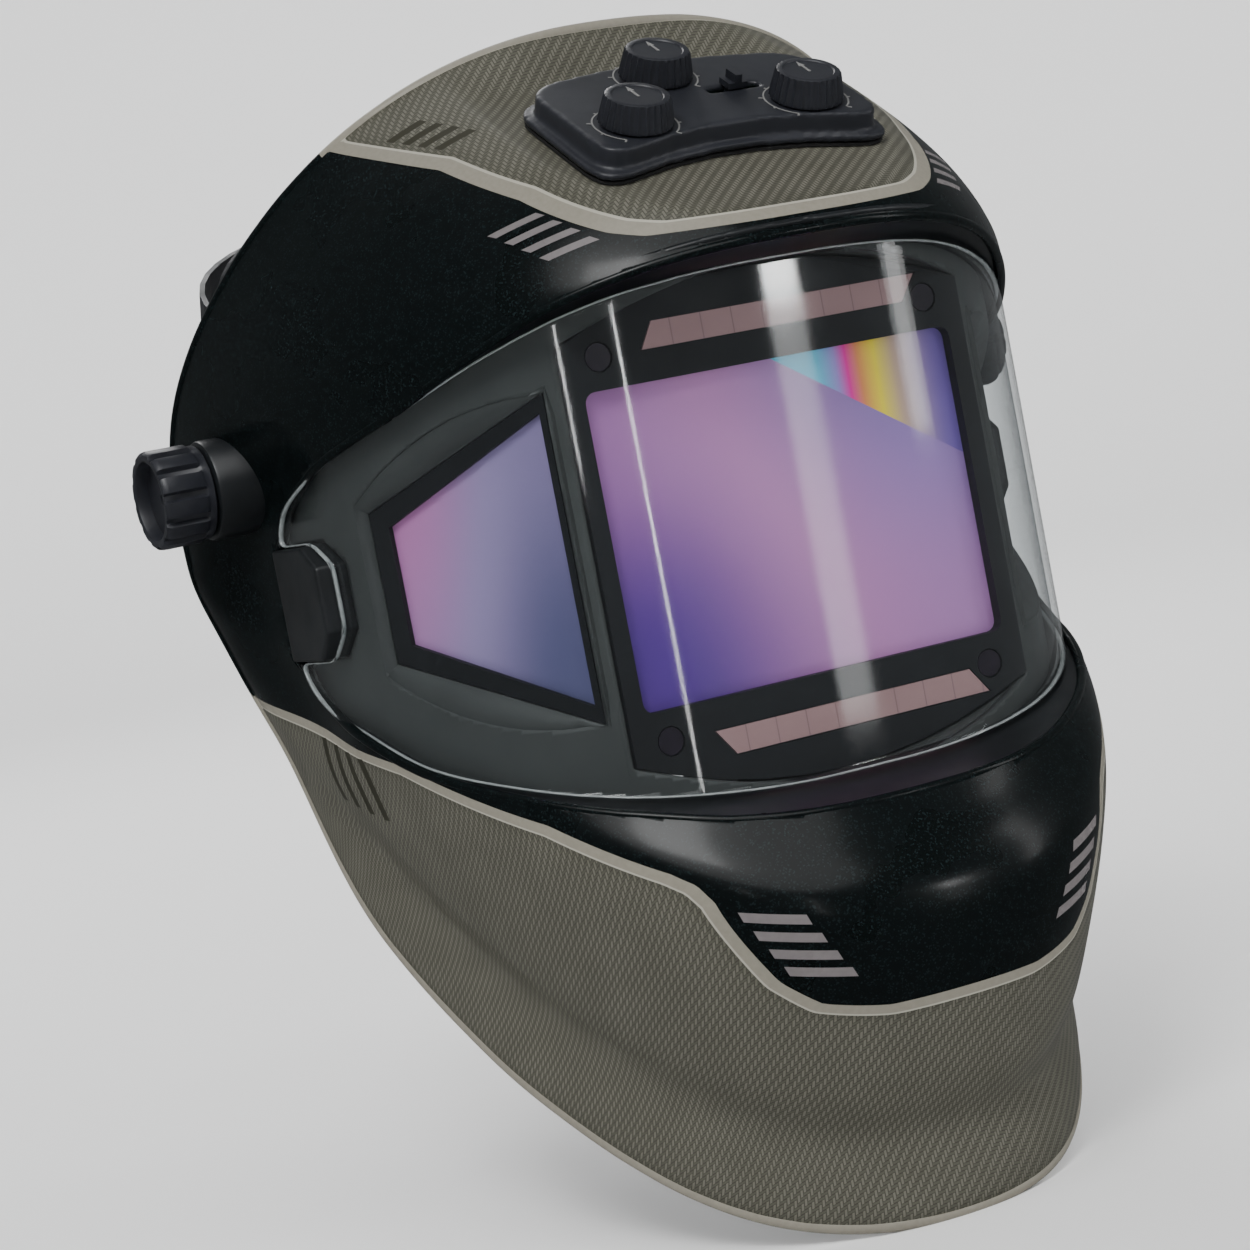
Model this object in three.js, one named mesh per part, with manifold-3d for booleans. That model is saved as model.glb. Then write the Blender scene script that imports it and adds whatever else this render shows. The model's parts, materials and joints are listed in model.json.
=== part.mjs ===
// Panoramic auto-darkening welding helmet, in millimetres.
// +Z is up, the front faces -Y, and +X is the wearer's left.
// The origin is the middle of the tilt axis, halfway between the two pivots.

import * as THREE from 'three';
import { ConvexGeometry } from 'three/addons/geometries/ConvexGeometry.js';
import { mergeVertices } from 'three/addons/utils/BufferGeometryUtils.js';
import Module from 'manifold-3d';

const wasm = await Module();
wasm.setup();

// ---------------------------------------------------------------- driving dimensions

const GAP = 0.3;                  // clearance between neighbouring pieces
const FAR = 200;                  // half length of a cutter that passes right through

// Outer face of the shell: cross ribs strung along the middle profile. Each row gives the
// profile point (y, z), the height of the rib's back end, its half width there and its squareness.
const RIB_BACK_Y = 62;
const SHELL_ROWS = [
  [-30, 121, 0, 119, 2.3],
  [-54, 105, 0, 119, 2.3],
  [-74, 93, 0, 119, 2.3],
  [-93, 82, 0, 119, 2.3],
  [-111, 70.5, 0, 119, 2.3],
  [-128, 57, 0, 119, 2.3],
  [-140, 43, 0, 119, 2.3],
  [-145, 30, 0, 119, 2.3],
  [-144, 8, 0, 119, 2.3],
  [-138, -40, 0, 119, 2.3],
  [-137, -88, -3, 119, 2.3],
  [-146, -110, -8, 119, 2.3],
  [-156, -130, -12, 118, 2.3],
  [-154, -152, -20, 115, 2.25],
  [-143, -180, -34, 110, 2.2],
  [-130, -206, -48, 104, 2.15],
  [-118, -230, -60, 98, 2.1],
  [-106, -252, -70, 93, 2.1],
];
const RIB_COUNT = 38;
const RIB_STEPS = 28;
const WALL = 2.6;
const FLARE = 8;                  // how far the bib's edge turns outwards
const FLARE_BAND = 24;
const VALLEY = 2;                 // depth of the groove along the inner edge of that band
const VALLEY_WIDTH = 8;
const FLARE_FROM = -70;           // the flare starts at this height and is full at the next
const FLARE_FULL = -130;

// The shallow hollow in each cheek, before the pivot.
const CHEEK = { y: -18, z: -32, deep: 6, reachY: 45, reachZ: 55 };

// Side view of the shell's edge, from the crown to the bottom of the bib: (y, z).
const RIM = [
  [-90, 137], [-54, 105], [-14, 64], [18, 30], [29, 8], [31, -15], [25, -60], [13, -95],
  [-7, -124], [-33, -151], [-67, -179.5], [-118, -214], [-190, -232],
];

// Side view of the opening for the cover lens, over the top and back along the bottom.
const OPENING_TOP = [
  [-200, 38], [-150, 38], [-124, 31], [-104, 22], [-80, 11.5], [-54, 3.5], [-36, -2.5],
  [-21, -9.5], [-14, -19],
];
const OPENING_BOTTOM = [
  [-12, -45], [-17, -57], [-28, -65.5], [-44, -72], [-66, -82], [-92, -90], [-120, -99],
  [-150, -108], [-200, -110],
];
const RETURN = 2.4;               // thickness of the lip that turns in around the opening
const LEDGE = 5;                  // width of the ledge that the cover lens rests on

// Cover lens, a plate bent into a U around the face.
const LENS_HALF = 108.5;
const LENS_DEPTH = 128;
const LENS_SQUARE = 2.45;
const LENS_THICK = 2;
const LATCH = [[-12, -50.5], [-12, -19.5], [-34, -19.5], [-42.5, -25.5], [-42.5, -43], [-35, -50.5]];
const LATCH_FACE = 109.5;         // outer and inner faces of each latch, and its flange
const LATCH_BACK = 94.5;
const LATCH_FLANGE = 1.8;
const FRAME_OUT = -LENS_THICK - 2.4;
const FRAME_THICK = 2.8;

// Seat of the control pod, a flat on the forehead.
const SEAT_TILT = 30 * Math.PI / 180;
const SEAT_ORIGIN = new THREE.Vector3(0, -113.3, 58.6);
const SEAT_NORMAL = new THREE.Vector3(0, -Math.sin(SEAT_TILT), Math.cos(SEAT_TILT));
const SEAT_HALF = [46, 58];       // the flat fades out over these half widths
const SEAT_BACK = [-66, -52];     // and over these depths
const POD_BASE = 1.4;             // height of the pod's foot above the seat, over its gasket
const POD_TOP = 9;
const POD_WALL = 1.8;
const POD_STEP = 2.6;             // how far the body is set in from the foot
const KNOBS = [['shade_knob', -25.5, 10.5], ['delay_knob', -5, 37], ['sensitivity_knob', 25.5, 10.5]];
const KNOB_HEIGHT = 7.6;
const KNOB_R = 10;
const KNOB_RIBS = 22;
const KNOB_RIB_DEPTH = 0.6;
const KNOB_TAPER = 0.14;
const SWITCH = { u: 11.5, v: 24.5, travel: 4.5 };
const POD_SCREWS = [[-31, 30], [31, 30]];

// Main filter cartridge, behind the middle of the cover lens.
const FILTER = { y: -110, z: -35, half: 60, corner: 54, crown: 67, width: 110, height: 83 };
const CARTRIDGE_DEPTH = 12;
const SENSORS = [[-49, 50], [49, 50], [-49, -49.5], [49, -49.5]];
const SOLAR_TOP = [[-37, 49.5], [42.5, 49.5], [48, 57], [-32.5, 57]];
const SOLAR_BOTTOM = [[-31, -57], [48, -57], [42.5, -49.5], [-36.5, -49.5]];

// Side filter cartridges, turned back 60 degrees from the main one.
const SIDE_CENTRE = new THREE.Vector3(-79.1, -80.8, -34);
const SIDE_TURN = 61.1 * Math.PI / 180;
const SIDE_WINDOW = [[27.4, -38], [27.4, 38], [-27.4, 15.8], [-27.4, -15.8]];
const SIDE_OUTLINE = [[29.4, -42.5], [29.4, 42.5], [-33, 20], [-33, -20]];
const SIDE_POCKET = [[28, -39.5], [28, 39.5], [-29, 17.2], [-29, -17.2]];
const SIDE_GLASS = [[27.7, -39], [27.7, 39], [-28.6, 16.8], [-28.6, -16.8]];
const SIDE_MOUTH = [[30.5, -58], [30.5, 58], [-41, 31], [-41, -31]];
const SIDE_MOUTH_HEIGHT = 14;
const SIDE_DEPTH = 5;

// Pivots and headgear.
const BOSS_FACE = 121;            // outer end of the shell's pivot boss
const BOSS_INNER = 102.2;
const BOSS_R = 14;
const STUD_R = 4;
const TENSION = { r: 13.8, flute: 1.1, flutes: 12, end: 136.5, recessR: 10.6, recess: 132.4 };
const ARM_X = 88;
const ARM_THICK = 3;
const HEAD = { y: 38, a: 82, b: 103 };
const HEAD_MIDDLE = new THREE.Vector3(0, HEAD.y, 20);
const BAND_THICK = 2.4;
const BAND_Z = 38;
const BAND_END = 1.85;            // how far the headband reaches round each side, in radians
const PAD = 6;                    // thickness of the foam pads
const CROWN = { y: 45, z: 53, half: 85, rise: 29 };
const RATCHET_Z = -12;
const RATCHET_HALF = 0.45;
const RACK = 6.2;                 // height of each toothed strap from the pinion's axis
const TOOTH_PITCH = 3.5;
const HOOP = { y: 58, deep: 64, z: 44, rise: 27, out: 3.9, width: 13 };

// ---------------------------------------------------------------- helpers

const group = new THREE.Group();
const ramp = THREE.MathUtils.smoothstep;

const look = (color, roughness, metalness = 0) =>
  new THREE.MeshStandardMaterial({ color, roughness, metalness });

const GLOSS_BLACK = look(0x121919, 0.2);
const SATIN_BLACK = look(0x1b1d20, 0.5);
const POD_GREY = look(0x2d2f39, 0.45);
const RUBBER = look(0x101010, 0.9);
const CLEAR = look(0xdfe6e8, 0.05);
const VIOLET = look(0x7a5c9c, 0.1);
const SOLAR = look(0x695254, 0.3);
const BOARD = look(0x1c5a35, 0.6);
const STEEL = look(0xb8b8b4, 0.3, 1);
const STRAP = look(0x26282a, 0.6);
const FOAM = look(0x2f3438, 0.95);

function toSolid(geometry) {
  const bare = geometry.clone();
  bare.deleteAttribute('normal');
  bare.deleteAttribute('uv');
  const merged = mergeVertices(bare, 1e-4);
  return new wasm.Manifold(new wasm.Mesh({
    numProp: 3,
    vertProperties: new Float32Array(merged.getAttribute('position').array),
    triVerts: new Uint32Array(merged.index.array),
  }));
}

function toGeometry(solid) {
  const mesh = solid.getMesh();
  const geometry = new THREE.BufferGeometry();
  geometry.setAttribute('position', new THREE.BufferAttribute(mesh.vertProperties, 3));
  geometry.setIndex(new THREE.BufferAttribute(mesh.triVerts, 1));
  return geometry;
}

function add(name, solid, material, parent = group) {
  const mesh = new THREE.Mesh(toGeometry(solid), material);
  mesh.name = name;
  parent.add(mesh);
  return mesh;
}

// The mirror image across the middle plane, with its faces turned the right way round again.
function mirrored(solid) {
  const geometry = toGeometry(solid).scale(-1, 1, 1);
  const index = geometry.index.array;
  for (let i = 0; i < index.length; i += 3) {
    [index[i], index[i + 1]] = [index[i + 1], index[i]];
  }
  return toSolid(geometry);
}

// Adds a piece on the wearer's right and its mirror image on the left.
function addPair(name, solid, material) {
  add(`${name}_right`, solid, material);
  add(`${name}_left`, mirrored(solid), material);
}

const AXES = {
  x: [[0, 1, 0], [0, 0, 1], [1, 0, 0]],
  y: [[1, 0, 0], [0, 0, 1], [0, -1, 0]],
  z: [[1, 0, 0], [0, 1, 0], [0, 0, 1]],
};

// A prism along an axis from one level to another. Its outline is (y, z), (x, z) or (x, y).
function prism(axis, outline, from, to, holes = []) {
  const vectors = (points) => points.map(([a, b]) => new THREE.Vector2(a, b));
  const shape = new THREE.Shape(vectors(outline));
  shape.holes = holes.map((hole) => new THREE.Path(vectors(hole)));
  const geometry = new THREE.ExtrudeGeometry(shape, { depth: Math.abs(to - from), bevelEnabled: false });
  const start = axis === 'y' ? -Math.max(from, to) : Math.min(from, to);
  const [u, v, w] = AXES[axis].map((a) => new THREE.Vector3(...a));
  geometry.translate(0, 0, start).applyMatrix4(new THREE.Matrix4().makeBasis(u, v, w));
  return toSolid(geometry);
}

function circle(radius, sides = 24, a = 0, b = 0) {
  return Array.from({ length: sides }, (_, i) => {
    const angle = 2 * Math.PI * i / sides;
    return [a + radius * Math.cos(angle), b + radius * Math.sin(angle)];
  });
}

const box = (a0, b0, a1, b1) => [[a0, b0], [a1, b0], [a1, b1], [a0, b1]];

// The points of a curve between two values of its parameter.
const arc = (from, to, steps, at) =>
  Array.from({ length: steps + 1 }, (_, i) => at(from + (to - from) * i / steps));

// A rectangle with rounded corners.
function rounded(a0, b0, a1, b1, radius, steps = 4) {
  const corners = [[a1 - radius, b1 - radius], [a0 + radius, b1 - radius],
    [a0 + radius, b0 + radius], [a1 - radius, b0 + radius]];
  return corners.flatMap(([a, b], k) => Array.from({ length: steps + 1 }, (_, i) => {
    const angle = (k + i / steps) * Math.PI / 2;
    return [a + radius * Math.cos(angle), b + radius * Math.sin(angle)];
  }));
}

// A closed outline moved outwards by a distance, or inwards where it is negative.
function grow(outline, distance) {
  const turn = THREE.ShapeUtils.area(outline.map(([x, y]) => ({ x, y }))) > 0 ? 1 : -1;
  return outline.map((point, i) => {
    const before = outline[(i + outline.length - 1) % outline.length];
    const after = outline[(i + 1) % outline.length];
    const edge = (p, q) => {
      const length = Math.hypot(q[0] - p[0], q[1] - p[1]);
      return [turn * (q[1] - p[1]) / length, -turn * (q[0] - p[0]) / length];
    };
    const [n, m] = [edge(before, point), edge(point, after)];
    const share = distance / (1 + n[0] * m[0] + n[1] * m[1]);
    return [point[0] + share * (n[0] + m[0]), point[1] + share * (n[1] + m[1])];
  });
}

function smooth(points, steps) {
  const curve = new THREE.SplineCurve(points.map(([u, v]) => new THREE.Vector2(u, v)));
  return curve.getPoints(steps).map((p) => [p.x, p.y]);
}

// A flat strap along a path. Its width runs along `across` and its thickness grows outwards.
function strap(path, across, widthAt, thick) {
  const side = new THREE.Vector3(...across);
  const points = path.map((p) => new THREE.Vector3(...p));
  const vertices = [];
  const faces = [];
  points.forEach((p, i) => {
    const ahead = points[Math.min(i + 1, points.length - 1)];
    const behind = points[Math.max(i - 1, 0)];
    const out = ahead.clone().sub(behind).cross(side).normalize();
    if (out.dot(p.clone().sub(HEAD_MIDDLE)) < 0) out.negate();
    const half = widthAt(i / (points.length - 1)) / 2;
    for (const [s, o] of [[-1, 0], [1, 0], [1, 1], [-1, 1]]) {
      const corner = p.clone().addScaledVector(side, s * half).addScaledVector(out, o * thick);
      vertices.push(corner.x, corner.y, corner.z);
    }
  });
  for (let i = 0; i < points.length - 1; i++) {
    for (let k = 0; k < 4; k++) {
      const [a, b] = [4 * i + k, 4 * i + (k + 1) % 4];
      faces.push(a, b, a + 4, b, b + 4, a + 4);
    }
  }
  const end = 4 * (points.length - 1);
  faces.push(0, 2, 1, 0, 3, 2, end, end + 1, end + 2, end, end + 2, end + 3);
  const geometry = new THREE.BufferGeometry();
  geometry.setAttribute('position', new THREE.Float32BufferAttribute(vertices, 3));
  geometry.setIndex(faces);
  return toSolid(outwards(geometry));
}

// Turns every face round if the solid is inside out.
function outwards(geometry) {
  const position = geometry.getAttribute('position');
  const index = geometry.index.array;
  const corner = (k) => new THREE.Vector3().fromBufferAttribute(position, index[k]);
  let volume = 0;
  for (let i = 0; i < index.length; i += 3) {
    volume += corner(i).dot(corner(i + 1).cross(corner(i + 2)));
  }
  if (volume < 0) {
    for (let i = 0; i < index.length; i += 3) {
      [index[i], index[i + 1]] = [index[i + 1], index[i]];
    }
  }
  return geometry;
}

const placed = (solid, matrix) => toSolid(toGeometry(solid).applyMatrix4(matrix));

// ---------------------------------------------------------------- shell surface

// Catmull-Rom interpolation of the shell rows at u from 0 to 1.
function shellRow(u) {
  const last = SHELL_ROWS.length - 1;
  const at = Math.min(Math.max(u, 0), 1) * last;
  const i = Math.min(Math.floor(at), last - 1);
  const t = at - i;
  const row = (k) => SHELL_ROWS[Math.min(Math.max(k, 0), last)];
  return SHELL_ROWS[0].map((_, c) => {
    const [a, b, d, e] = [row(i - 1)[c], row(i)[c], row(i + 1)[c], row(i + 2)[c]];
    return b + 0.5 * t * (d - a + t * (2 * a - 5 * b + 4 * d - e + t * (3 * (b - d) + e - a)));
  });
}

const rimLine = smooth(RIM, 32);
const openingLine = [...smooth(OPENING_TOP, 16), ...smooth(OPENING_BOTTOM, 16)];

// Distance from the rim in the side view, positive on the shell's side of it.
function fromRim(y, z) {
  let best = Infinity;
  let side = 1;
  for (let i = 1; i < rimLine.length; i++) {
    const [ay, az] = rimLine[i - 1];
    const [by, bz] = rimLine[i];
    const length2 = (by - ay) ** 2 + (bz - az) ** 2;
    const t = Math.min(Math.max(((y - ay) * (by - ay) + (z - az) * (bz - az)) / length2, 0), 1);
    const away = Math.hypot(y - ay - t * (by - ay), z - az - t * (bz - az));
    if (away < best) {
      best = away;
      side = Math.sign((bz - az) * (y - ay) - (by - ay) * (z - az)) || 1;
    }
  }
  return side * best;
}

// How far the outer face stands proud of the ribs: the flared bib with the valley above it.
function relief(y, z) {
  const distance = fromRim(y, z);
  const low = 1 - ramp(z, FLARE_FULL, FLARE_FROM);
  const flare = FLARE * (1 - ramp(distance, 0, FLARE_BAND));
  const valley = VALLEY * Math.exp(-(((distance - FLARE_BAND) / VALLEY_WIDTH) ** 2));
  return low * (flare - valley);
}

// Point of the ribs: u runs from the crown to the bib, v from -1 to 1 across.
function ribPoint(u, v) {
  const [y, z, backZ, half, square] = shellRow(u);
  const angle = v * Math.PI / 2;
  const reach = Math.pow(Math.cos(angle), 2 / square);
  const side = Math.sign(v) * Math.pow(Math.abs(Math.sin(angle)), 2 / square);
  return new THREE.Vector3(
    half * side,
    RIB_BACK_Y + (y - RIB_BACK_Y) * reach,
    backZ + (z - backZ) * reach,
  );
}

function ribNormal(u, v) {
  const step = 0.004;
  const inside = v * 0.995;
  const du = ribPoint(Math.min(u + step, 1), inside).sub(ribPoint(Math.max(u - step, 0), inside));
  const dv = ribPoint(u, inside + step).sub(ribPoint(u, inside - step));
  return du.cross(dv).normalize();
}

// The outer face with its relief, pressed flat where the control pod sits.
function shellPoint(u, v) {
  const p = ribPoint(u, v);
  p.addScaledVector(ribNormal(u, v), relief(p.y, p.z));
  const proud = Math.max(p.clone().sub(SEAT_ORIGIN).dot(SEAT_NORMAL), 0);
  const inside = (1 - ramp(Math.abs(p.x), ...SEAT_HALF)) * (1 - ramp(p.y, ...SEAT_BACK));
  p.addScaledVector(SEAT_NORMAL, -proud * inside);
  const away = Math.hypot((p.y - CHEEK.y) / CHEEK.reachY, (p.z - CHEEK.z) / CHEEK.reachZ);
  p.x -= Math.sign(p.x) * CHEEK.deep * (1 - ramp(away, 0.35, 1)) * ramp(Math.abs(p.x), 70, 105);
  return p;
}

// The closed volume inside the outer face moved inwards by depth.
function shellVolume(depth) {
  const vertices = [];
  const faces = [];
  const ring = RIB_STEPS + 1;
  for (let i = 0; i <= RIB_COUNT; i++) {
    for (let j = 0; j <= RIB_STEPS; j++) {
      const [u, v] = [i / RIB_COUNT, 2 * j / RIB_STEPS - 1];
      const p = shellPoint(u, v).addScaledVector(ribNormal(u, v), -depth);
      vertices.push(p.x, p.y, p.z);
    }
  }
  for (let i = 0; i < RIB_COUNT; i++) {
    const left = i * ring;
    const right = left + RIB_STEPS;
    for (let a = left; a < right; a++) {
      faces.push(a, a + ring, a + 1, a + 1, a + ring, a + ring + 1);
    }
    faces.push(right, right + ring, left, left, right + ring, left + ring);
  }
  const end = RIB_COUNT * ring;
  for (let j = 1; j < RIB_STEPS; j++) {
    faces.push(0, j, j + 1);
    faces.push(end, end + j + 1, end + j);
  }
  const geometry = new THREE.BufferGeometry();
  geometry.setAttribute('position', new THREE.Float32BufferAttribute(vertices, 3));
  geometry.setIndex(faces);
  return toSolid(geometry);
}

// ---------------------------------------------------------------- lens plan

// Plan of the cover lens moved outwards, from the wearer's right round to the left: (x, y).
function lensPlan(out, steps = 30) {
  return Array.from({ length: steps + 1 }, (_, i) => {
    const angle = Math.PI * (i / steps - 0.5);
    const across = Math.sign(Math.sin(angle)) * Math.abs(Math.sin(angle)) ** (2 / LENS_SQUARE);
    return [
      (LENS_HALF + out) * across,
      -(LENS_DEPTH + out) * Math.max(Math.cos(angle), 0) ** (2 / LENS_SQUARE),
    ];
  });
}

const lensPrism = (out) => prism('z', lensPlan(out), -FAR, FAR);
const lensBand = (outer, inner) =>
  prism('z', [...lensPlan(outer), ...lensPlan(inner).reverse()], -FAR, FAR);
const sideView = (outline, from = -FAR, to = FAR) => prism('x', outline, from, to);

const opening = sideView(openingLine);

// ---------------------------------------------------------------- control pod

const podMatrix = new THREE.Matrix4().makeRotationX(SEAT_TILT).setPosition(SEAT_ORIGIN);
const pod = new THREE.Group();
pod.applyMatrix4(podMatrix);
group.add(pod);

// Plan of the pod's foot: two lobes towards the brow with a hollow between, and a bowed back.
const podShape = new THREE.Shape();
podShape.moveTo(-34, -5);
podShape.quadraticCurveTo(0, 9, 34, -5);
podShape.quadraticCurveTo(44, -8, 44, 4);
podShape.lineTo(44, 34);
podShape.quadraticCurveTo(44, 43, 34, 46);
podShape.quadraticCurveTo(0, 55, -34, 46);
podShape.quadraticCurveTo(-44, 43, -44, 34);
podShape.lineTo(-44, 4);
podShape.quadraticCurveTo(-44, -8, -34, -5);
const podPlan = podShape.getPoints(5).slice(0, -1).map((p) => [p.x, p.y]);
const podInset = (d) => podPlan.map(([a, b]) => [a * (1 - d / 44), 22 + (b - 22) * (1 - d / 28)]);

function makePod() {
  const foot = prism('z', podPlan, POD_BASE, POD_BASE + 2);
  const body = prism('z', podInset(POD_STEP), POD_BASE, POD_TOP);
  const hollow = prism('z', podInset(POD_STEP + POD_WALL), -1, POD_TOP - POD_WALL);
  let housing = foot.add(body).subtract(hollow);
  for (const [, a, b] of KNOBS) {
    housing = housing.subtract(prism('z', circle(3.5, 16, a, b), 0, FAR));
  }
  const { u, v, travel } = SWITCH;
  const slot = box(u - 3 - travel, v - 1.7, u + 3 + travel, v + 1.7);
  housing = housing.subtract(prism('z', slot, 0, FAR));
  for (const [a, b] of POD_SCREWS) {
    const post = prism('z', circle(3.2, 12, a, b), POD_BASE, POD_TOP - 1);
    housing = housing.add(post).subtract(prism('z', circle(1.8, 12, a, b), 0, 7));
  }
  add('pod_housing', housing, POD_GREY, pod);

  const gasket = prism('z', podInset(0.5), GAP, POD_BASE - GAP, [podInset(6)]);
  let board = prism('z', podInset(7), 2.6, 4.2);
  for (const [, a, b] of KNOBS) {
    board = board.add(prism('z', box(a - 4.5, b - 4.5, a + 4.5, b + 4.5), 4, 6.6));
  }
  board = board.add(prism('z', box(u - 9, v - 2.5, u + 9, v + 2.5), 4, 5.6));
  for (const [a, b] of POD_SCREWS) {
    board = board.subtract(prism('z', circle(4, 12, a, b), 0, 20));
    const shank = prism('z', circle(1.4, 10, a, b), -WALL - 1.2, 6.5);
    const head = prism('z', circle(3, 12, a, b), -WALL - 2.6, -WALL - 0.7);
    add(`pod_screw_${a < 0 ? 'right' : 'left'}`, shank.add(head), STEEL, pod);
  }
  add('pod_gasket', gasket, RUBBER, pod);
  add('pod_circuit_board', board, BOARD, pod);

  for (const [name, a, b] of KNOBS) {
    const knob = new THREE.Group();
    knob.position.set(a, b, POD_TOP + 0.5);
    pod.add(knob);
    add(name, makeControlKnob(), POD_GREY, knob);
  }
  const stem = prism('z', box(u - 2, v - 1.2, u + 2, v + 1.2), 6.1, POD_TOP + 2);
  const cap = prism('z', box(u - 2.8, v - 2.6, u + 2.8, v + 2.6), POD_TOP + 0.4, POD_TOP + 2);
  const ridge = prism('z', box(u - 1, v - 2.6, u + 1, v + 2.6), POD_TOP + 0.4, POD_TOP + 4.2);
  add('mode_switch', stem.add(cap).add(ridge), SATIN_BLACK, pod);
}

// A tapered knob with a ribbed side and a shaft that passes into the pod.
function makeControlKnob() {
  const outline = Array.from({ length: 2 * KNOB_RIBS }, (_, i) => {
    const angle = Math.PI * i / KNOB_RIBS;
    const radius = i % 2 ? KNOB_R - KNOB_RIB_DEPTH : KNOB_R;
    return [radius * Math.cos(angle), radius * Math.sin(angle)];
  });
  const shape = new THREE.Shape(outline.map(([a, b]) => new THREE.Vector2(a, b)));
  const geometry = new THREE.ExtrudeGeometry(shape, { depth: KNOB_HEIGHT, bevelEnabled: false });
  const position = geometry.getAttribute('position');
  for (let i = 0; i < position.count; i++) {
    const taper = 1 - KNOB_TAPER * position.getZ(i) / KNOB_HEIGHT;
    position.setXY(i, position.getX(i) * taper, position.getY(i) * taper);
  }
  const mark = prism('z', [[0, 6.5], [-1.1, 1], [1.1, 1]], KNOB_HEIGHT - 0.6, KNOB_HEIGHT + 1);
  const shaft = prism('z', circle(3, 12), -2.2, 1);
  return toSolid(geometry).subtract(mark).add(shaft);
}

makePod();

// ---------------------------------------------------------------- shell

function makeShell() {
  const outer = shellVolume(0);
  const keep = sideView([...rimLine, [-260, -230], [-260, 137]]);
  const boss = (r, x0, x1) => prism('x', circle(r, 28), x0, x1);
  let shell = outer.subtract(shellVolume(WALL)).intersect(keep).subtract(opening);
  const lip = sideView(grow(openingLine, RETURN)).subtract(opening).intersect(outer)
    .subtract(lensPrism(FRAME_OUT + 0.4));
  const ledge = sideView(grow(openingLine, 1)).subtract(sideView(grow(openingLine, -LEDGE)))
    .intersect(lensBand(-LENS_THICK - GAP, FRAME_OUT + 0.4));
  shell = shell.add(lip).add(ledge).subtract(sideView(grow(LATCH, 1.2)));
  for (const [x0, x1] of [[-BOSS_FACE, -BOSS_INNER], [BOSS_INNER, BOSS_FACE]]) {
    shell = shell.add(boss(BOSS_R, x0, x1));
  }
  shell = shell.subtract(boss(STUD_R + 0.4, -FAR, FAR));
  for (const [a, b] of POD_SCREWS) {
    shell = shell.subtract(placed(prism('z', circle(1.8, 12, a, b), -8, 8), podMatrix));
  }
  const passage = placed(prism('z', rounded(-16, 8, 16, 24, 4), -12, 8), podMatrix);
  return shell.subtract(passage);
}

add('outer_shell', makeShell(), GLOSS_BLACK);

// ---------------------------------------------------------------- cover lens and latches

const clearOpening = grow(openingLine, -0.6);

add('cover_lens', lensBand(0, -LENS_THICK).intersect(sideView(clearOpening))
  .subtract(sideView(grow(LATCH, 0.6))), CLEAR);
addPair('lens_latch', sideView(LATCH, -LATCH_FACE, -LATCH_BACK)
  .add(sideView(grow(LATCH, 1.6), -LATCH_BACK - LATCH_FLANGE, -LATCH_BACK)), SATIN_BLACK);

// ---------------------------------------------------------------- filters and their frame

// Outline of the main cartridge: straight sides between a bowed top and bottom.
function cartridgeOutline(extra = 0) {
  const { z, half, corner, crown } = FILTER;
  const bow = (sign) => arc(1, -1, 10, (t) => [
    sign * t * (half + extra), z + sign * (corner + extra + (crown - corner) * (1 - t * t))]);
  return [...bow(1), ...bow(-1)];
}

const atFilter = (points) => points.map(([x, z]) => [x, z + FILTER.z]);
const windowOf = (extra, radius) => rounded(
  -FILTER.width / 2 - extra, FILTER.z - FILTER.height / 2 - extra,
  FILTER.width / 2 + extra, FILTER.z + FILTER.height / 2 + extra, radius);

const sideMatrix = new THREE.Matrix4().makeBasis(
  new THREE.Vector3(Math.cos(SIDE_TURN), -Math.sin(SIDE_TURN), 0),
  new THREE.Vector3(0, 0, 1),
  new THREE.Vector3(-Math.sin(SIDE_TURN), -Math.cos(SIDE_TURN), 0),
).setPosition(SIDE_CENTRE);
const sidePrism = (outline, from, to, holes) =>
  placed(prism('z', outline, from, to, holes), sideMatrix);

// A funnel that opens outwards from the side cartridge's face, steepest at the back.
function sideFunnel(extra) {
  const corners = [
    ...grow(SIDE_OUTLINE, 0.4 + extra).map(([u, v]) => new THREE.Vector3(u, v, 0)),
    ...grow(SIDE_MOUTH, extra).map(([u, v]) => new THREE.Vector3(u, v, SIDE_MOUTH_HEIGHT)),
  ];
  return placed(toSolid(new ConvexGeometry(corners)), sideMatrix);
}

function makeFrame() {
  const collar = prism('y', cartridgeOutline(2.6), -121, -99);
  const sideCollar = sidePrism(grow(SIDE_OUTLINE, 2.6), -SIDE_DEPTH - 0.8, 1).add(sideFunnel(2.2));
  const sideCut = sidePrism(grow(SIDE_OUTLINE, 0.4), -SIDE_DEPTH - 1.2, 1).add(sideFunnel(0));
  const band = lensBand(FRAME_OUT, FRAME_OUT - FRAME_THICK).intersect(sideView(grow(openingLine, 3)));
  return band.add(collar).add(sideCollar).add(mirrored(sideCollar))
    .intersect(lensPrism(FRAME_OUT))
    .subtract(prism('y', cartridgeOutline(0.4), -FAR, -50))
    .subtract(sideCut).subtract(mirrored(sideCut))
    .subtract(sideView(grow(LATCH, 0.5)))
    .subtract(prism('x', circle(BOSS_R + 2, 24), -FAR, FAR));
}

add('lens_frame', makeFrame(), GLOSS_BLACK);

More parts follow.
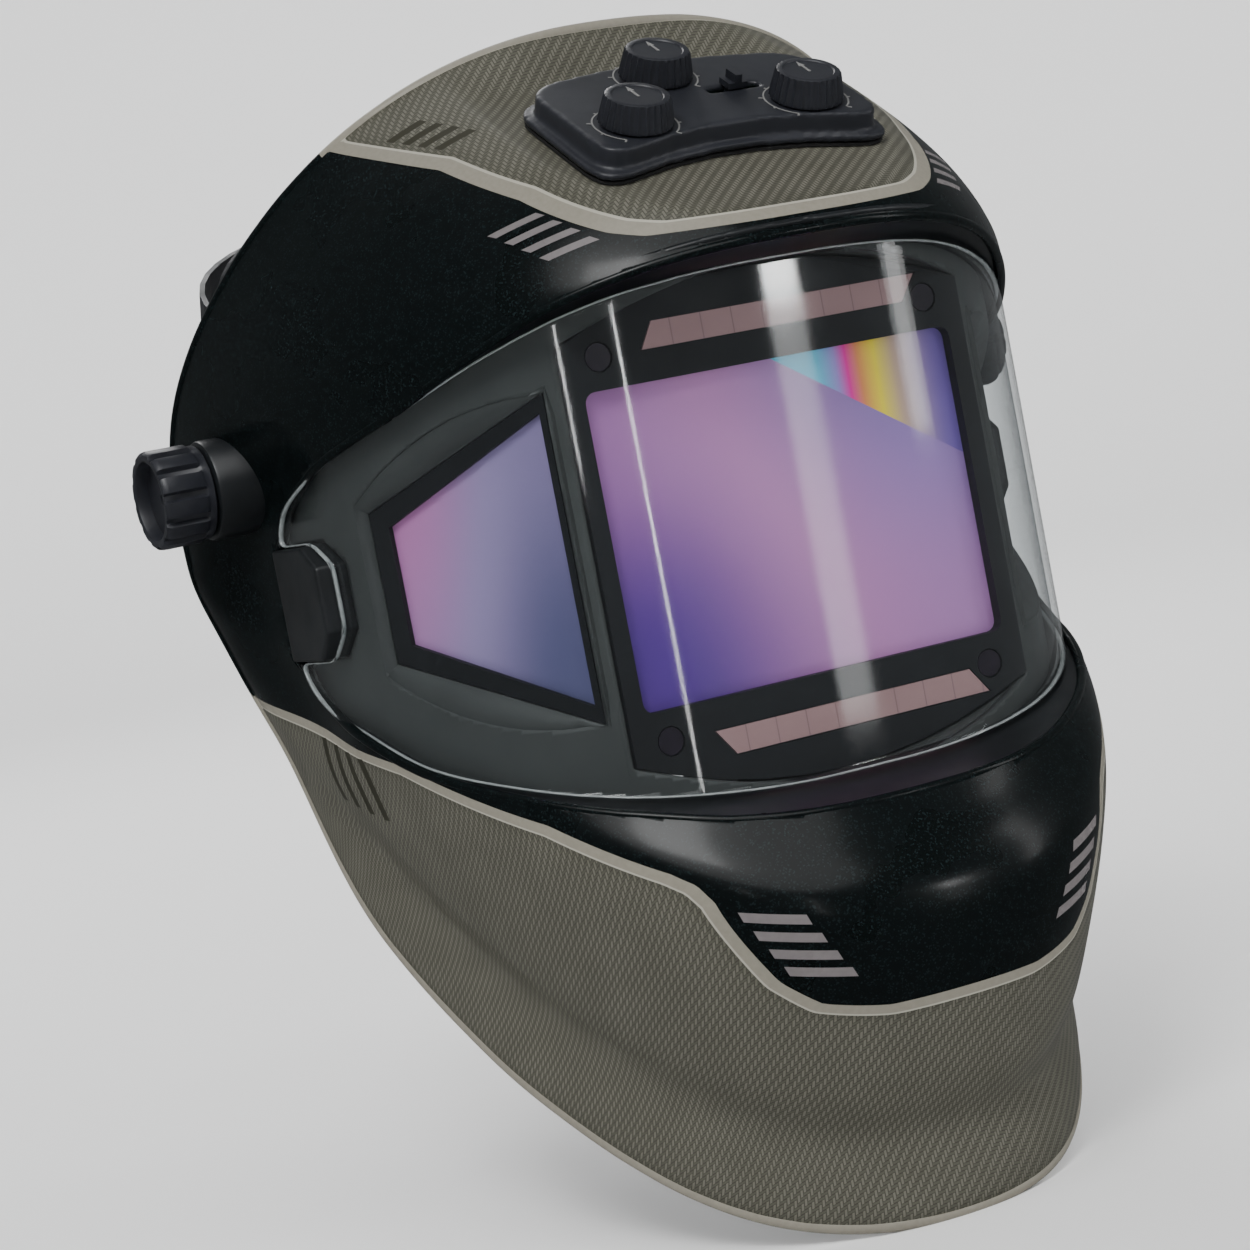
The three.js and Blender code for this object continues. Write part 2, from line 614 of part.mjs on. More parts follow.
function makeMainFilter() {
  const { y, half } = FILTER;
  const front = prism('y', cartridgeOutline(), y, y + 3.5, [windowOf(0, 3)]);
  const trunk = cartridgeOutline().map(([a, b]) => [a * (half - 1.2) / half, b]);
  let housing = front.add(prism('y', trunk, y + 2, y + CARTRIDGE_DEPTH, [windowOf(1.3, 2)]));
  housing = housing.subtract(prism('y', atFilter(SOLAR_TOP), y - 1, y + 1.2));
  housing = housing.subtract(prism('y', atFilter(SOLAR_BOTTOM), y - 1, y + 1.2));
  SENSORS.forEach(([a, b], i) => {
    const spot = atFilter([[a, b]])[0];
    housing = housing.subtract(prism('y', circle(4, 14, ...spot), y - 1, y + 2));
    add(`arc_sensor_${i + 1}`, prism('y', circle(3.6, 14, ...spot), y + 0.3, y + 1.7), SATIN_BLACK);
  });
  const boardPocket = box(-46, 11.5, 46, 21);
  housing = housing.subtract(prism('y', boardPocket, y + 6, y + CARTRIDGE_DEPTH + 1));
  add('filter_circuit_board', prism('y', grow(boardPocket, -0.5), y + 7.5, y + 9.1), BOARD);
  add('main_filter_housing', housing, SATIN_BLACK);
  add('solar_cell_top', prism('y', grow(atFilter(SOLAR_TOP), -GAP), y + 0.1, y + 0.9), SOLAR);
  add('solar_cell_bottom', prism('y', grow(atFilter(SOLAR_BOTTOM), -GAP), y + 0.1, y + 0.9), SOLAR);
  add('main_filter_glass', prism('y', windowOf(1, 1.5), y + 3.8, y + CARTRIDGE_DEPTH - 0.5), VIOLET);

  // Rear cover with the inner cover lens and a box for the coin cells.
  const back = y + CARTRIDGE_DEPTH + GAP;
  const cells = { half: 24, low: -104.5, high: -94.5, rear: -68 };
  let cover = prism('y', trunk, back, back + 3.4, [windowOf(-1.5, 2)]);
  cover = cover.subtract(prism('y', windowOf(1.9, 2), back + 1.8, back + 10));
  cover = cover.intersect(prism('y', box(-100, cells.low + 3, 100, 100), back - 1, 0));
  const outerBox = prism(
    'y', box(-cells.half - 2, cells.low, cells.half + 2, cells.high), back, cells.rear);
  const innerBox = prism(
    'y', box(-cells.half, cells.low + 1.8, cells.half, cells.high - 1.8), back + 2, 0);
  add('filter_rear_cover', cover.add(outerBox).subtract(innerBox), SATIN_BLACK);
  add('inner_cover_lens', prism('y', windowOf(1.6, 1.5), back + 2.1, back + 3.1), CLEAR);
  const floor = cells.low + 1.8 + GAP;
  const roof = cells.high - 1.8 - GAP;
  const sides = cells.half - GAP;
  const pull = box(-sides - 2, floor - 1.5, sides + 2, roof + 1.5);
  let tray = prism('y', box(-sides, floor, sides, roof), back + 2.6, cells.rear - 0.2)
    .add(prism('y', pull, cells.rear + GAP, cells.rear + 2))
    .add(prism('y', box(-sides, floor, sides, roof), cells.rear - 1, cells.rear + 1));
  for (const x of [-11.6, 11.6]) {
    tray = tray.subtract(prism('z', circle(10.6, 20, x, -80.5), floor + 1.2, 0));
    const cell = prism('z', circle(10, 20, x, -80.5), floor + 1.5, floor + 4.7);
    add(`coin_cell_${x < 0 ? 'right' : 'left'}`, cell, STEEL);
  }
  add('battery_tray', tray, SATIN_BLACK);
}

makeMainFilter();

const sideHousing = sidePrism(SIDE_OUTLINE, -SIDE_DEPTH, 0, [SIDE_WINDOW])
  .subtract(sidePrism(SIDE_POCKET, -SIDE_DEPTH - 1, -1.6));
addPair('side_filter_housing', sideHousing, SATIN_BLACK);
addPair('side_filter_glass', sidePrism(SIDE_GLASS, -SIDE_DEPTH + 0.4, -1.9), VIOLET);

// ---------------------------------------------------------------- pivots

// A ring or disc on the wearer's right pivot.
const disc = (radius, x0, x1, bore = 0, sides = 20) => (bore
  ? prism('x', circle(radius, sides), -x1, -x0, [circle(bore, 14)])
  : prism('x', circle(radius, sides), -x1, -x0));

function makeTensionKnob() {
  const { r, flute, flutes, end, recessR, recess } = TENSION;
  const outline = Array.from({ length: 4 * flutes }, (_, i) => {
    const angle = 2 * Math.PI * i / (4 * flutes);
    const radius = i % 4 < 2 ? r : r - flute;
    return [radius * Math.cos(angle), radius * Math.sin(angle)];
  });
  return prism('x', outline, -end, -BOSS_FACE - 0.4)
    .subtract(disc(STUD_R + 0.5, BOSS_FACE, 130.2))
    .subtract(disc(recessR, recess, FAR));
}

const armOutline = [[-20, -17], [36, -17], [36, 50], [10, 50], [10, 17], [-20, 17]];
const armSlot = rounded(-17.6, -7.4, 17.6, 7.4, 4);
addPair('tension_knob', makeTensionKnob(), POD_GREY);
addPair('pivot_stud', disc(STUD_R, 90, 129.7).add(disc(7, ARM_X, 91)), STEEL);
addPair('slider', disc(12.5, 91.4, 95.4, STUD_R + GAP), SATIN_BLACK);
addPair('tilt_stop', disc(12, 95.8, 98.6, STUD_R + GAP), STRAP);
addPair('friction_washer', disc(12.5, 99, BOSS_INNER - GAP, STUD_R + GAP), RUBBER);
addPair('side_arm', prism('x', armOutline, -ARM_X - ARM_THICK, -ARM_X, [armSlot])
  .add(prism('x', box(14, 28, 34, 48), -ARM_X - 1, -85.2)), STRAP);

// ---------------------------------------------------------------- headgear

// Point of the head's outline in plan, moved outwards: turn is 0 at the forehead.
function headPoint(turn, out, z) {
  return [(HEAD.a + out) * Math.sin(turn), HEAD.y - (HEAD.b + out) * Math.cos(turn), z];
}

// A strap that follows the head at one height.
function headStrap(from, to, steps, out, z, width, thick) {
  return strap(arc(from, to, steps, (t) => headPoint(t, out, z)), [0, 0, 1], () => width, thick);
}

add('headband', headStrap(-BAND_END, BAND_END, 40, 0, BAND_Z, 28, BAND_THICK), STRAP);
add('sweatband', headStrap(-1.05, 1.05, 22, -PAD - GAP, BAND_Z, 36, PAD), FOAM);

// The crown strap is two halves that lap on top of the head, held by a pin.
function crownStrap(side, lift) {
  const rise = arc(0, 1.75, 16, (t) => [
    side * CROWN.half * Math.cos(t),
    CROWN.y,
    CROWN.z + CROWN.rise * Math.sin(t) + lift * ramp(t, 0.5, 1.2),
  ]);
  const path = [[side * CROWN.half, CROWN.y, BAND_Z - 10], ...rise];
  let band = strap(path, [0, 1, 0], () => 14, 1.6);
  for (const x of [-9, 0, 9]) {
    band = band.subtract(prism('z', circle(2.6, 12, x, CROWN.y), CROWN.z + 10, FAR));
  }
  return band;
}
const crownTop = CROWN.z + CROWN.rise;
add('crown_strap_right', crownStrap(-1, 0), STRAP);
add('crown_strap_left', crownStrap(1, 2), STRAP);
add('crown_pin', prism('z', circle(2.2, 12, 0, CROWN.y), crownTop - 1.5, crownTop + 4.5)
  .add(prism('z', circle(5, 16, 0, CROWN.y), crownTop + 4, crownTop + 5.6))
  .add(prism('z', circle(4, 16, 0, CROWN.y), crownTop - 2.2, crownTop - 0.7)), SATIN_BLACK);

// A second strap round the upper back of the head.
const hoopPath = arc(-Math.PI / 2, Math.PI / 2, 24, (t) => [
  (HEAD.a + HOOP.out) * Math.sin(t),
  HOOP.y + HOOP.deep * Math.cos(t),
  HOOP.z + HOOP.rise * Math.cos(t),
]);
add('rear_hoop', strap(hoopPath, [0, -0.39, 0.92], () => HOOP.width, 1.6), STRAP);

// Each toothed strap laps the headband, drops behind the head and passes the pinion.
function toothedStrap(side) {
  const start = 1.72;
  const level = RATCHET_Z - side * RACK;
  const path = arc(start, Math.PI + 0.3, 26, (t) => {
    const z = BAND_Z + (level - BAND_Z) * ramp(t, start + 0.1, Math.PI - RATCHET_HALF - 0.05);
    const [x, y] = headPoint(t, BAND_THICK + 0.5, z);
    return [side * x, y, z];
  });
  let band = strap(path, [0, 0, 1], (t) => 18 - 12 * ramp(t, 0.1, 0.6), 1.6);
  const edge = RATCHET_Z - side * (RACK - 3);
  for (let x = -6 * TOOTH_PITCH; x <= 6 * TOOTH_PITCH; x += TOOTH_PITCH) {
    band = band.subtract(prism('y', box(x - 0.7, edge - 0.9, x + 0.7, edge + 0.9), 100, FAR));
  }
  return band;
}
add('toothed_strap_right', toothedStrap(-1), STRAP);
add('toothed_strap_left', toothedStrap(1), STRAP);

// The ratchet at the back of the head.
const rearY = HEAD.y + HEAD.b;
const atRatchet = (half, out, width, thick) =>
  headStrap(Math.PI - half, Math.PI + half, 14, out, RATCHET_Z, width, thick);
const ratchetDisc = (radius, from, to, sides = 24) =>
  prism('y', circle(radius, sides, 0, RATCHET_Z), rearY + from, rearY + to);

function lobed(radius, depth, lobes, steps) {
  return Array.from({ length: lobes * steps }, (_, i) => {
    const angle = 2 * Math.PI * i / (lobes * steps);
    const r = radius - depth * (1 - Math.abs(Math.cos(angle * lobes / 2)));
    return [r * Math.cos(angle), RATCHET_Z + r * Math.sin(angle)];
  });
}

add('ratchet_cover', atRatchet(RATCHET_HALF, 0, 34, 1.6), STRAP);
add('ratchet_housing', atRatchet(RATCHET_HALF, 1.9, 34, 8.6)
  .subtract(atRatchet(RATCHET_HALF + 0.1, 0.9, 26, 7.2))
  .add(ratchetDisc(13, 8.6, 12.4)).subtract(ratchetDisc(3.6, 0, 20)), STRAP);
add('rear_pad', atRatchet(RATCHET_HALF - 0.04, -PAD - GAP, 38, PAD), FOAM);
add('ratchet_pinion', prism('y', lobed(2.9, 1, 9, 4), rearY + 2.2, rearY + 6.4), STEEL);
add('ratchet_knob', prism('y', lobed(20, 1.6, 10, 6), rearY + 12.8, rearY + 24)
  .subtract(ratchetDisc(11, 21, 30)).add(ratchetDisc(3.2, 6.7, 14)), SATIN_BLACK);

export default group;
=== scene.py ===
"""Panoramic auto-darkening welding helmet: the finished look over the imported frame.

Shapes are worked out in millimetres, in the frame of the CAD model, and made in metres.
"""

import contextlib
import json
import math

import bmesh
import bpy
import numpy as np
from mathutils import Matrix, Vector

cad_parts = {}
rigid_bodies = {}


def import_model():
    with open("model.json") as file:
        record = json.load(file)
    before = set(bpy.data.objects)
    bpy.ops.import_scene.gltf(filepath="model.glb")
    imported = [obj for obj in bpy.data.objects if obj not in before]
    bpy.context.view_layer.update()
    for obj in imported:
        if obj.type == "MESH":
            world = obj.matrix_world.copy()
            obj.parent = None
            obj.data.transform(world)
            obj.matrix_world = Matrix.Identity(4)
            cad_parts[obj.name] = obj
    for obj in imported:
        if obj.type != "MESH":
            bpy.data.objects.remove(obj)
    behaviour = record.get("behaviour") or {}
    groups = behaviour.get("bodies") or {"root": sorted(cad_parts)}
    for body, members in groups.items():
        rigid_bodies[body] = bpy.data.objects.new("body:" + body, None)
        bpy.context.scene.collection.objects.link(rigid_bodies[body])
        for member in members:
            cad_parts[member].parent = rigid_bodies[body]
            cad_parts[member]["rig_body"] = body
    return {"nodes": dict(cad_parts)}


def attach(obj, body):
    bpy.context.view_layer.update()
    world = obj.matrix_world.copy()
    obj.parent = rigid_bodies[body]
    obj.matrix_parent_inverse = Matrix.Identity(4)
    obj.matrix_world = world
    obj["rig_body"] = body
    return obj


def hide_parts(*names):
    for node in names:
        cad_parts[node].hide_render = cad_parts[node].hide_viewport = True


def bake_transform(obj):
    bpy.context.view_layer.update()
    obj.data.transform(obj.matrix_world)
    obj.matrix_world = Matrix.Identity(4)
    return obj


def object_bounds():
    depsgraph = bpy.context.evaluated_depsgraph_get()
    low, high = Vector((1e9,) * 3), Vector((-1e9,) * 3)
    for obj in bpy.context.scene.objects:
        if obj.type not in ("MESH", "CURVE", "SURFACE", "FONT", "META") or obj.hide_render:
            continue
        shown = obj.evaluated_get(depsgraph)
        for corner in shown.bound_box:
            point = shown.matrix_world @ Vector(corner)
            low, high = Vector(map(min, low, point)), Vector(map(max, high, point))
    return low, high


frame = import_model()
NODES = frame["nodes"]
CAD_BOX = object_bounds()
MM = 0.001

# ---- camera, floor and light

CAMERA_AT = Vector((-0.42193, -0.86067, 0.00557))
YAW, PITCH, ROLL = (math.radians(a) for a in (-26.0, 4.0, 10.83))
FOCAL_LENGTH, PICTURE_WIDTH = 3300, 1250  # in pixels of the photograph
SENSOR_WIDTH = 36.0


def in_scene(name, data):
    thing = bpy.data.objects.new(name, data)
    bpy.context.collection.objects.link(thing)
    return thing


def camera_axes():
    back = Vector((
        math.sin(YAW) * math.cos(PITCH), -math.cos(YAW) * math.cos(PITCH), math.sin(PITCH)))
    right = (-back).cross(Vector((0, 0, 1))).normalized()
    up = right.cross(-back)
    level = math.cos(ROLL) * right - math.sin(ROLL) * up
    return level, math.sin(ROLL) * right + math.cos(ROLL) * up, back


def make_camera():
    data = bpy.data.cameras.new("camera")
    data.sensor_width = SENSOR_WIDTH
    data.lens = FOCAL_LENGTH * SENSOR_WIDTH / PICTURE_WIDTH
    camera = in_scene("camera", data)
    rotation = Matrix(camera_axes()).transposed().to_4x4()
    camera.matrix_world = Matrix.Translation(CAMERA_AT) @ rotation
    bpy.context.scene.camera = camera


def lamp(name, at, aim, size, watts):
    data = bpy.data.lights.new(name, "AREA")
    data.shape = "RECTANGLE"
    data.size, data.size_y = size
    data.energy = watts
    light = in_scene(name, data)
    light.location = at
    light.rotation_euler = (Vector(aim) - Vector(at)).to_track_quat("-Z", "Y").to_euler()


FLOOR_GAP = 0.001
FLAT_RADIUS, BEND_RADIUS = 2.6, 1.2


def make_backdrop():
    """A paper sweep: a round floor that curves up into a wall well away from the helmet."""
    floor_z = CAD_BOX[0][2] - FLOOR_GAP
    wall = FLAT_RADIUS + BEND_RADIUS
    bend = np.linspace(0.15, math.pi / 2, 10)
    profile = [(0.0, 0.0), (1.2, 0.0), (FLAT_RADIUS, 0.0)]
    profile += [
        (FLAT_RADIUS + BEND_RADIUS * math.sin(a), BEND_RADIUS - BEND_RADIUS * math.cos(a)) for a in bend]
    profile += [(wall, 2.6), (wall, 4.2)]
    steps = 72
    points, faces = [(0.0, 0.0, floor_z)], []
    for radius, height in profile[1:]:
        for i in range(steps):
            angle = 2 * math.pi * i / steps
            points.append((radius * math.cos(angle), radius * math.sin(angle), floor_z + height))
    for i in range(steps):
        faces.append((0, 1 + i, 1 + (i + 1) % steps))
    for k in range(len(profile) - 2):
        a, b = 1 + k * steps, 1 + (k + 1) * steps
        faces += [(a + i, b + i, b + (i + 1) % steps, a + (i + 1) % steps) for i in range(steps)]
    mesh = bpy.data.meshes.new("backdrop")
    mesh.from_pydata(points, [], faces)
    for polygon in mesh.polygons:
        polygon.use_smooth = True
    backdrop = in_scene("backdrop", mesh)
    backdrop.visible_glossy = False
    mesh.materials.append(paper_material())


def paper_material():
    n = Nodes("backdrop_paper")
    pale = n.mix(n.noise(3.0), (0.9, 0.9, 0.9), (0.92, 0.92, 0.92))
    n.set(Specular_IOR_Level=0.0)
    return n.set(Base_Color=pale, Roughness=1.0)


def towards(azimuth, elevation, distance):
    """A place seen from the window at an azimuth from straight ahead, +X positive, in degrees."""
    a, e = math.radians(azimuth), math.radians(elevation)
    return (distance * math.sin(a) * math.cos(e), -distance * math.cos(a) * math.cos(e),
            distance * math.sin(e))


SKY_STRENGTH = 0.18
SUN_STRENGTH = 3.0
WINDOW = (0, -0.1, -0.04)
# Name, place, size in metres and watts. The strips draw the upright streaks on the lens.
LAMPS = [
    ("key", (-1.1, -1.3, 1.5), (0.7, 0.7), 30),
    ("fill_right", (1.5, -1.1, 0.5), (0.25, 1.2), 6),
    ("strip_top", towards(26.5, 4.0, 1.8), (0.12, 0.15), 2.0),
    ("strip_main", towards(26.5, -2.4, 1.8), (0.13, 0.4), 0.75),
    ("strip_thin", towards(-16.8, -4, 1.8), (0.02, 0.45), 0.8),
    ("strip_left", towards(-37, 3, 1.9), (0.025, 0.3), 0.5),
]


def make_stage():
    make_backdrop()
    world = bpy.data.worlds.new("studio")
    world.use_nodes = True
    sky = world.node_tree.nodes["Background"].inputs
    sky["Color"].default_value = (0.9, 0.93, 0.95, 1)
    sky["Strength"].default_value = SKY_STRENGTH
    bpy.context.scene.world = world
    sun = bpy.data.lights.new("sky_panel", "SUN")
    sun.energy = SUN_STRENGTH
    sun.angle = math.radians(60)
    in_scene("sky_panel", sun).rotation_euler = (math.radians(38), math.radians(-22), 0)
    for name, at, size, watts in LAMPS:
        lamp(name, at, WINDOW, size, watts)
    lamp("rear", (0.3, 1.5, 1.3), (0, 0, 0), (1.0, 0.7), 14)


# ---- material nodes


class Nodes:
    """Short names for building a material's nodes."""

    def __init__(self, name):
        self.material = bpy.data.materials.new(name)
        self.material.use_nodes = True
        self.tree = self.material.node_tree
        self.shader = self.tree.nodes["Principled BSDF"]

    def put(self, node, socket, value):
        if isinstance(value, bpy.types.NodeSocket):
            self.tree.links.new(value, node.inputs[socket])
        elif value is not None:
            node.inputs[socket].default_value = value

    def add(self, kind, inputs, out=0, **settings):
        """A new node with its settings and inputs, of which it gives one output."""
        node = self.tree.nodes.new(f"ShaderNode{kind}")
        for name, value in settings.items():
            setattr(node, name, value)
        for socket, value in inputs.items():
            self.put(node, socket, value)
        return node.outputs if out is None else node.outputs[out]

    def math(self, operation, a, b=None, c=None):
        return self.add("Math", {0: a, 1: b, 2: c}, operation=operation)

    def vector(self, operation, a, b=None, out=0):
        return self.add("VectorMath", {0: a, 1: b}, out, operation=operation)

    def mix(self, share, a, b):
        return self.add("Mix", {0: share, 6: four(a), 7: four(b)}, 2, data_type="RGBA")

    def noise(self, scale, detail=2.0, roughness=0.5):
        return self.add("TexNoise", {
            "Vector": self.place(), "Scale": scale, "Detail": detail, "Roughness": roughness}, "Fac")

    def cells(self, scale, at=None):
        return self.add("TexVoronoi", {"Vector": at or self.place(), "Scale": scale}, None)

    def place(self):
        return self.add("TexCoord", {}, "Object")

    def attribute(self, name, out="Fac"):
        return self.add("Attribute", {}, out, attribute_name=name)

    def split(self, vector):
        return self.add("SeparateXYZ", {0: vector}, None)

    def between(self, value, low, high, out_low=0.0, out_high=1.0):
        """A smooth ramp of value from low to high."""
        numbers = dict(enumerate((value, low, high, out_low, out_high)))
        return self.add("MapRange", numbers, interpolation_type="SMOOTHSTEP")

    def bump(self, height, strength, distance):
        return self.add("Bump", {"Height": height, "Strength": strength, "Distance": distance})

    def set(self, **values):
        for name, value in values.items():
            self.put(self.shader, name.replace("_", " "), four(value) if name == "Base_Color" else value)
        return self.material


def four(value):
    return (*value, 1.0) if isinstance(value, tuple) and len(value) == 3 else value


def plain(name, colour, roughness):
    n = Nodes(name)
    mottle = n.between(n.noise(9.0), 0.3, 0.7)
    return n.set(
        Base_Color=n.mix(mottle, tuple(c * 0.99 for c in colour), colour), Roughness=roughness)


def moulded(name, colour, roughness, grain=0.12, light=1.9):
    """Moulded plastic: a fine spark-eroded grain, faint flow marks and duller rubbed places."""
    n = Nodes(name)
    flow = n.noise(28.0, 4.0)
    speck = n.noise(3500.0, 2.0, 0.6)
    shade = n.mix(n.between(flow, 0.3, 0.75), colour, tuple(c * light for c in colour))
    rough = n.between(n.noise(60.0, 3.0), 0.2, 0.8, roughness * 0.82, min(roughness * 1.2, 1.0))
    n.set(Specular_IOR_Level=0.3)
    return n.set(Base_Color=shade, Roughness=rough, Normal=n.bump(speck, grain, 0.0001))


# ---- small geometry helpers


def link(name, mesh, material, body, *replaced, slot=None):
    piece = in_scene(name, mesh)
    mesh.materials.clear()
    mesh.materials.append(material)
    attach(piece, body)
    if replaced:
        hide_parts(*replaced)
    return piece


def mesh_of(name, points, faces, smooth=True):
    mesh = bpy.data.meshes.new(name)
    mesh.from_pydata([tuple(float(c) * MM for c in p) for p in points], [], [tuple(f) for f in faces])
    mesh.validate()
    for polygon in mesh.polygons:
        polygon.use_smooth = smooth
    return mesh


def modifier(piece, kind, **settings):
    m = piece.modifiers.new(kind.lower(), kind)
    for key, value in settings.items():
        setattr(m, key, value)
    return m


@contextlib.contextmanager
def editing(mesh):
    """The mesh as a bmesh, written back at the end."""
    bm = bmesh.new()
    bm.from_mesh(mesh)
    yield bm
    bm.to_mesh(mesh)
    bm.free()


def facing_out(mesh):
    with editing(mesh) as bm:
        bmesh.ops.recalc_face_normals(bm, faces=bm.faces)
    return mesh


def smooth_by_angle(piece, degrees):
    """Marks edges sharper than an angle as sharp and shades the rest smooth."""
    with editing(piece.data) as bm:
        for edge in bm.edges:
            edge.smooth = not (edge.is_manifold and edge.calc_face_angle(0) > math.radians(degrees))
        for face in bm.faces:
            face.smooth = True


def ring_quads(count, rings, closed=False):
    """Quads between successive rings of count points."""
    return [
        (k * count + i, k * count + (i + 1) % count,
         (k + 1) % rings * count + (i + 1) % count, (k + 1) % rings * count + i)
        for k in range(rings if closed else rings - 1) for i in range(count)]


def catmull(points, steps):
    """Catmull-Rom points through a polyline."""
    p = np.array(points, float)
    last = len(p) - 1
    out = []
    for t in np.linspace(0, last, steps + 1):
        i = min(int(t), last - 1)
        f = t - i
        a, b, c, d = (p[min(max(k, 0), last)] for k in (i - 1, i, i + 1, i + 2))
        out.append(b + 0.5 * f * (c - a + f * (2 * a - 5 * b + 4 * c - d + f * (3 * (b - c) + d - a))))
    return np.array(out)


def lengths(points):
    """Length along a polyline at each of its points."""
    return np.concatenate([[0], np.cumsum(np.linalg.norm(np.diff(points, axis=0), axis=1))])


def segment_distance(points, line, closed=True):
    """Distance of points (n, 2) from a polyline, their side of it and the length along it there."""
    a = np.array(line, float)
    b = np.roll(a, -1, axis=0)
    if not closed:
        a, b = a[:-1], b[:-1]
    best = np.full(len(points), np.inf)
    side = np.ones(len(points))
    along = np.zeros(len(points))
    start = 0.0
    for p, q in zip(a, b):
        d = q - p
        t = np.clip(((points - p) @ d) / max(d @ d, 1e-9), 0, 1)
        away = np.hypot(*(points - p - t[:, None] * d).T)
        cross = d[0] * (points[:, 1] - p[1]) - d[1] * (points[:, 0] - p[0])
        near = away < best
        best[near] = away[near]
        side[near] = np.where(cross[near] >= 0, 1, -1)
        along[near] = start + t[near] * np.linalg.norm(d)
        start += np.linalg.norm(d)
    return best, side, along


def inside_polygon(points, line):
    a = np.array(line, float)
    b = np.roll(a, -1, axis=0)
    odd = np.zeros(len(points), bool)
    for (ax, ay), (bx, by) in zip(a, b):
        crosses = (ay > points[:, 1]) != (by > points[:, 1])
        slope = (bx - ax) / (by - ay) if by != ay else 0.0
        odd ^= crosses & (points[:, 0] < ax + slope * (points[:, 1] - ay))
    return odd


def outside(points, line):
    """Signed distance from a closed outline, positive outside it."""
    away = segment_distance(points, line)[0]
    return np.where(inside_polygon(points, line), -away, away)


def ramp(x, low, high):
    t = np.clip((x - low) / (high - low), 0, 1)
    return t * t * (3 - 2 * t)


def trimmed_sheet(surface, rows, columns, field):
    """Quads of surface(u, v), u and v from 0 to 1, trimmed to where field(points) is positive.

    Returns the (u, v) of each vertex and the faces. Edges that cross the boundary are cut exactly on it.
    """
    u, v = np.meshgrid(np.linspace(0, 1, rows + 1), np.linspace(0, 1, columns + 1), indexing="ij")
    uv = np.stack([u.ravel(), v.ravel()], 1)
    f = field(surface(uv[:, 0], uv[:, 1]))
    ring = columns + 1
    faces, cuts = [], {}

    def cut(i, j):
        key = (min(i, j), max(i, j))
        if key not in cuts:
            cuts[key] = len(uv) + len(cuts)
        return cuts[key]

    for i in range(rows):
        for j in range(columns):
            quad = [i * ring + j, i * ring + j + 1, (i + 1) * ring + j + 1, (i + 1) * ring + j]
            keep = [f[k] > 0 for k in quad]
            if all(keep):
                faces.append(quad)
            elif any(keep):
                face = []
                for k in range(4):
                    a, b = quad[k], quad[(k + 1) % 4]
                    if f[a] > 0:
                        face.append(a)
                    if (f[a] > 0) != (f[b] > 0):
                        face.append(cut(a, b))
                faces.append(face)
    if cuts:
        pairs = np.array(list(cuts))
        a, b = uv[pairs[:, 0]], uv[pairs[:, 1]]
        fa, fb = f[pairs[:, 0]], f[pairs[:, 1]]
        for _ in range(4):
            t = np.clip(fa / (fa - fb), 0.02, 0.98)[:, None]
            middle = a + t * (b - a)
            fm = field(surface(middle[:, 0], middle[:, 1]))
            same = (fm > 0) == (fa > 0)
            a = np.where(same[:, None], middle, a)
            fa = np.where(same, fm, fa)
            b = np.where(same[:, None], b, middle)
            fb = np.where(same, fb, fm)
        uv = np.vstack([uv, middle])
    used = sorted({k for face in faces for k in face})
    index = {k: n for n, k in enumerate(used)}
    return uv[used], [[index[k] for k in face] for face in faces]


def edge_loops(mesh):
    """The open edges of a mesh as closed loops of (position, normal), in millimetres."""
    bm = bmesh.new()
    bm.from_mesh(mesh)
    bm.normal_update()
    rims = {e: True for e in bm.edges if e.is_boundary}  # a dict, whose order is the same each run
    loops = []
    while rims:
        edge = next(iter(rims))
        del rims[edge]
        start, at = edge.verts
        chain = [start, at]
        while at != start:
            step = next((e for e in at.link_edges if e in rims), None)
            if step is None:
                break
            del rims[step]
            at = step.other_vert(at)
            chain.append(at)
        loops.append((
            np.array([v.co for v in chain[:-1]]) / MM,
            np.array([v.normal for v in chain[:-1]]),
        ))
    bm.free()
    return sorted(loops, key=lambda loop: -len(loop[0]))


def even_loop(points, normals, spacing, soften):
    """A closed loop resampled at an even spacing and slightly smoothed."""
    closed = np.vstack([points, points[:1]])
    length = lengths(closed)
    count = max(int(length[-1] / spacing), 12)
    at = np.linspace(0, length[-1], count, endpoint=False)
    both = np.hstack([closed, np.vstack([normals, normals[:1]])])
    out = np.stack([np.interp(at, length, column) for column in both.T], 1)
    for _ in range(soften):
        out = 0.25 * np.roll(out, 1, 0) + 0.5 * out + 0.25 * np.roll(out, -1, 0)
    n = out[:, 3:]
    return out[:, :3], n / np.linalg.norm(n, axis=1)[:, None]


def swept(points, normals, section):
    """A closed tube along a loop. section holds (along the surface away from it, along the normal)."""
    tangent = np.roll(points, -1, 0) - np.roll(points, 1, 0)
    tangent /= np.linalg.norm(tangent, axis=1)[:, None]
    away = np.cross(tangent, normals)
    vertices = [p + a * s + n * h for p, a, n in zip(points, away, normals) for s, h in section]
    return vertices, ring_quads(len(section), len(points), closed=True)


def oval(half_width, half_height, across=0.0, lift=0.0, sides=12):
    return [
        (across + half_width * math.cos(2 * math.pi * i / sides),
         lift + half_height * math.sin(2 * math.pi * i / sides)) for i in range(sides)]


# ---- hood surface, as in the CAD model

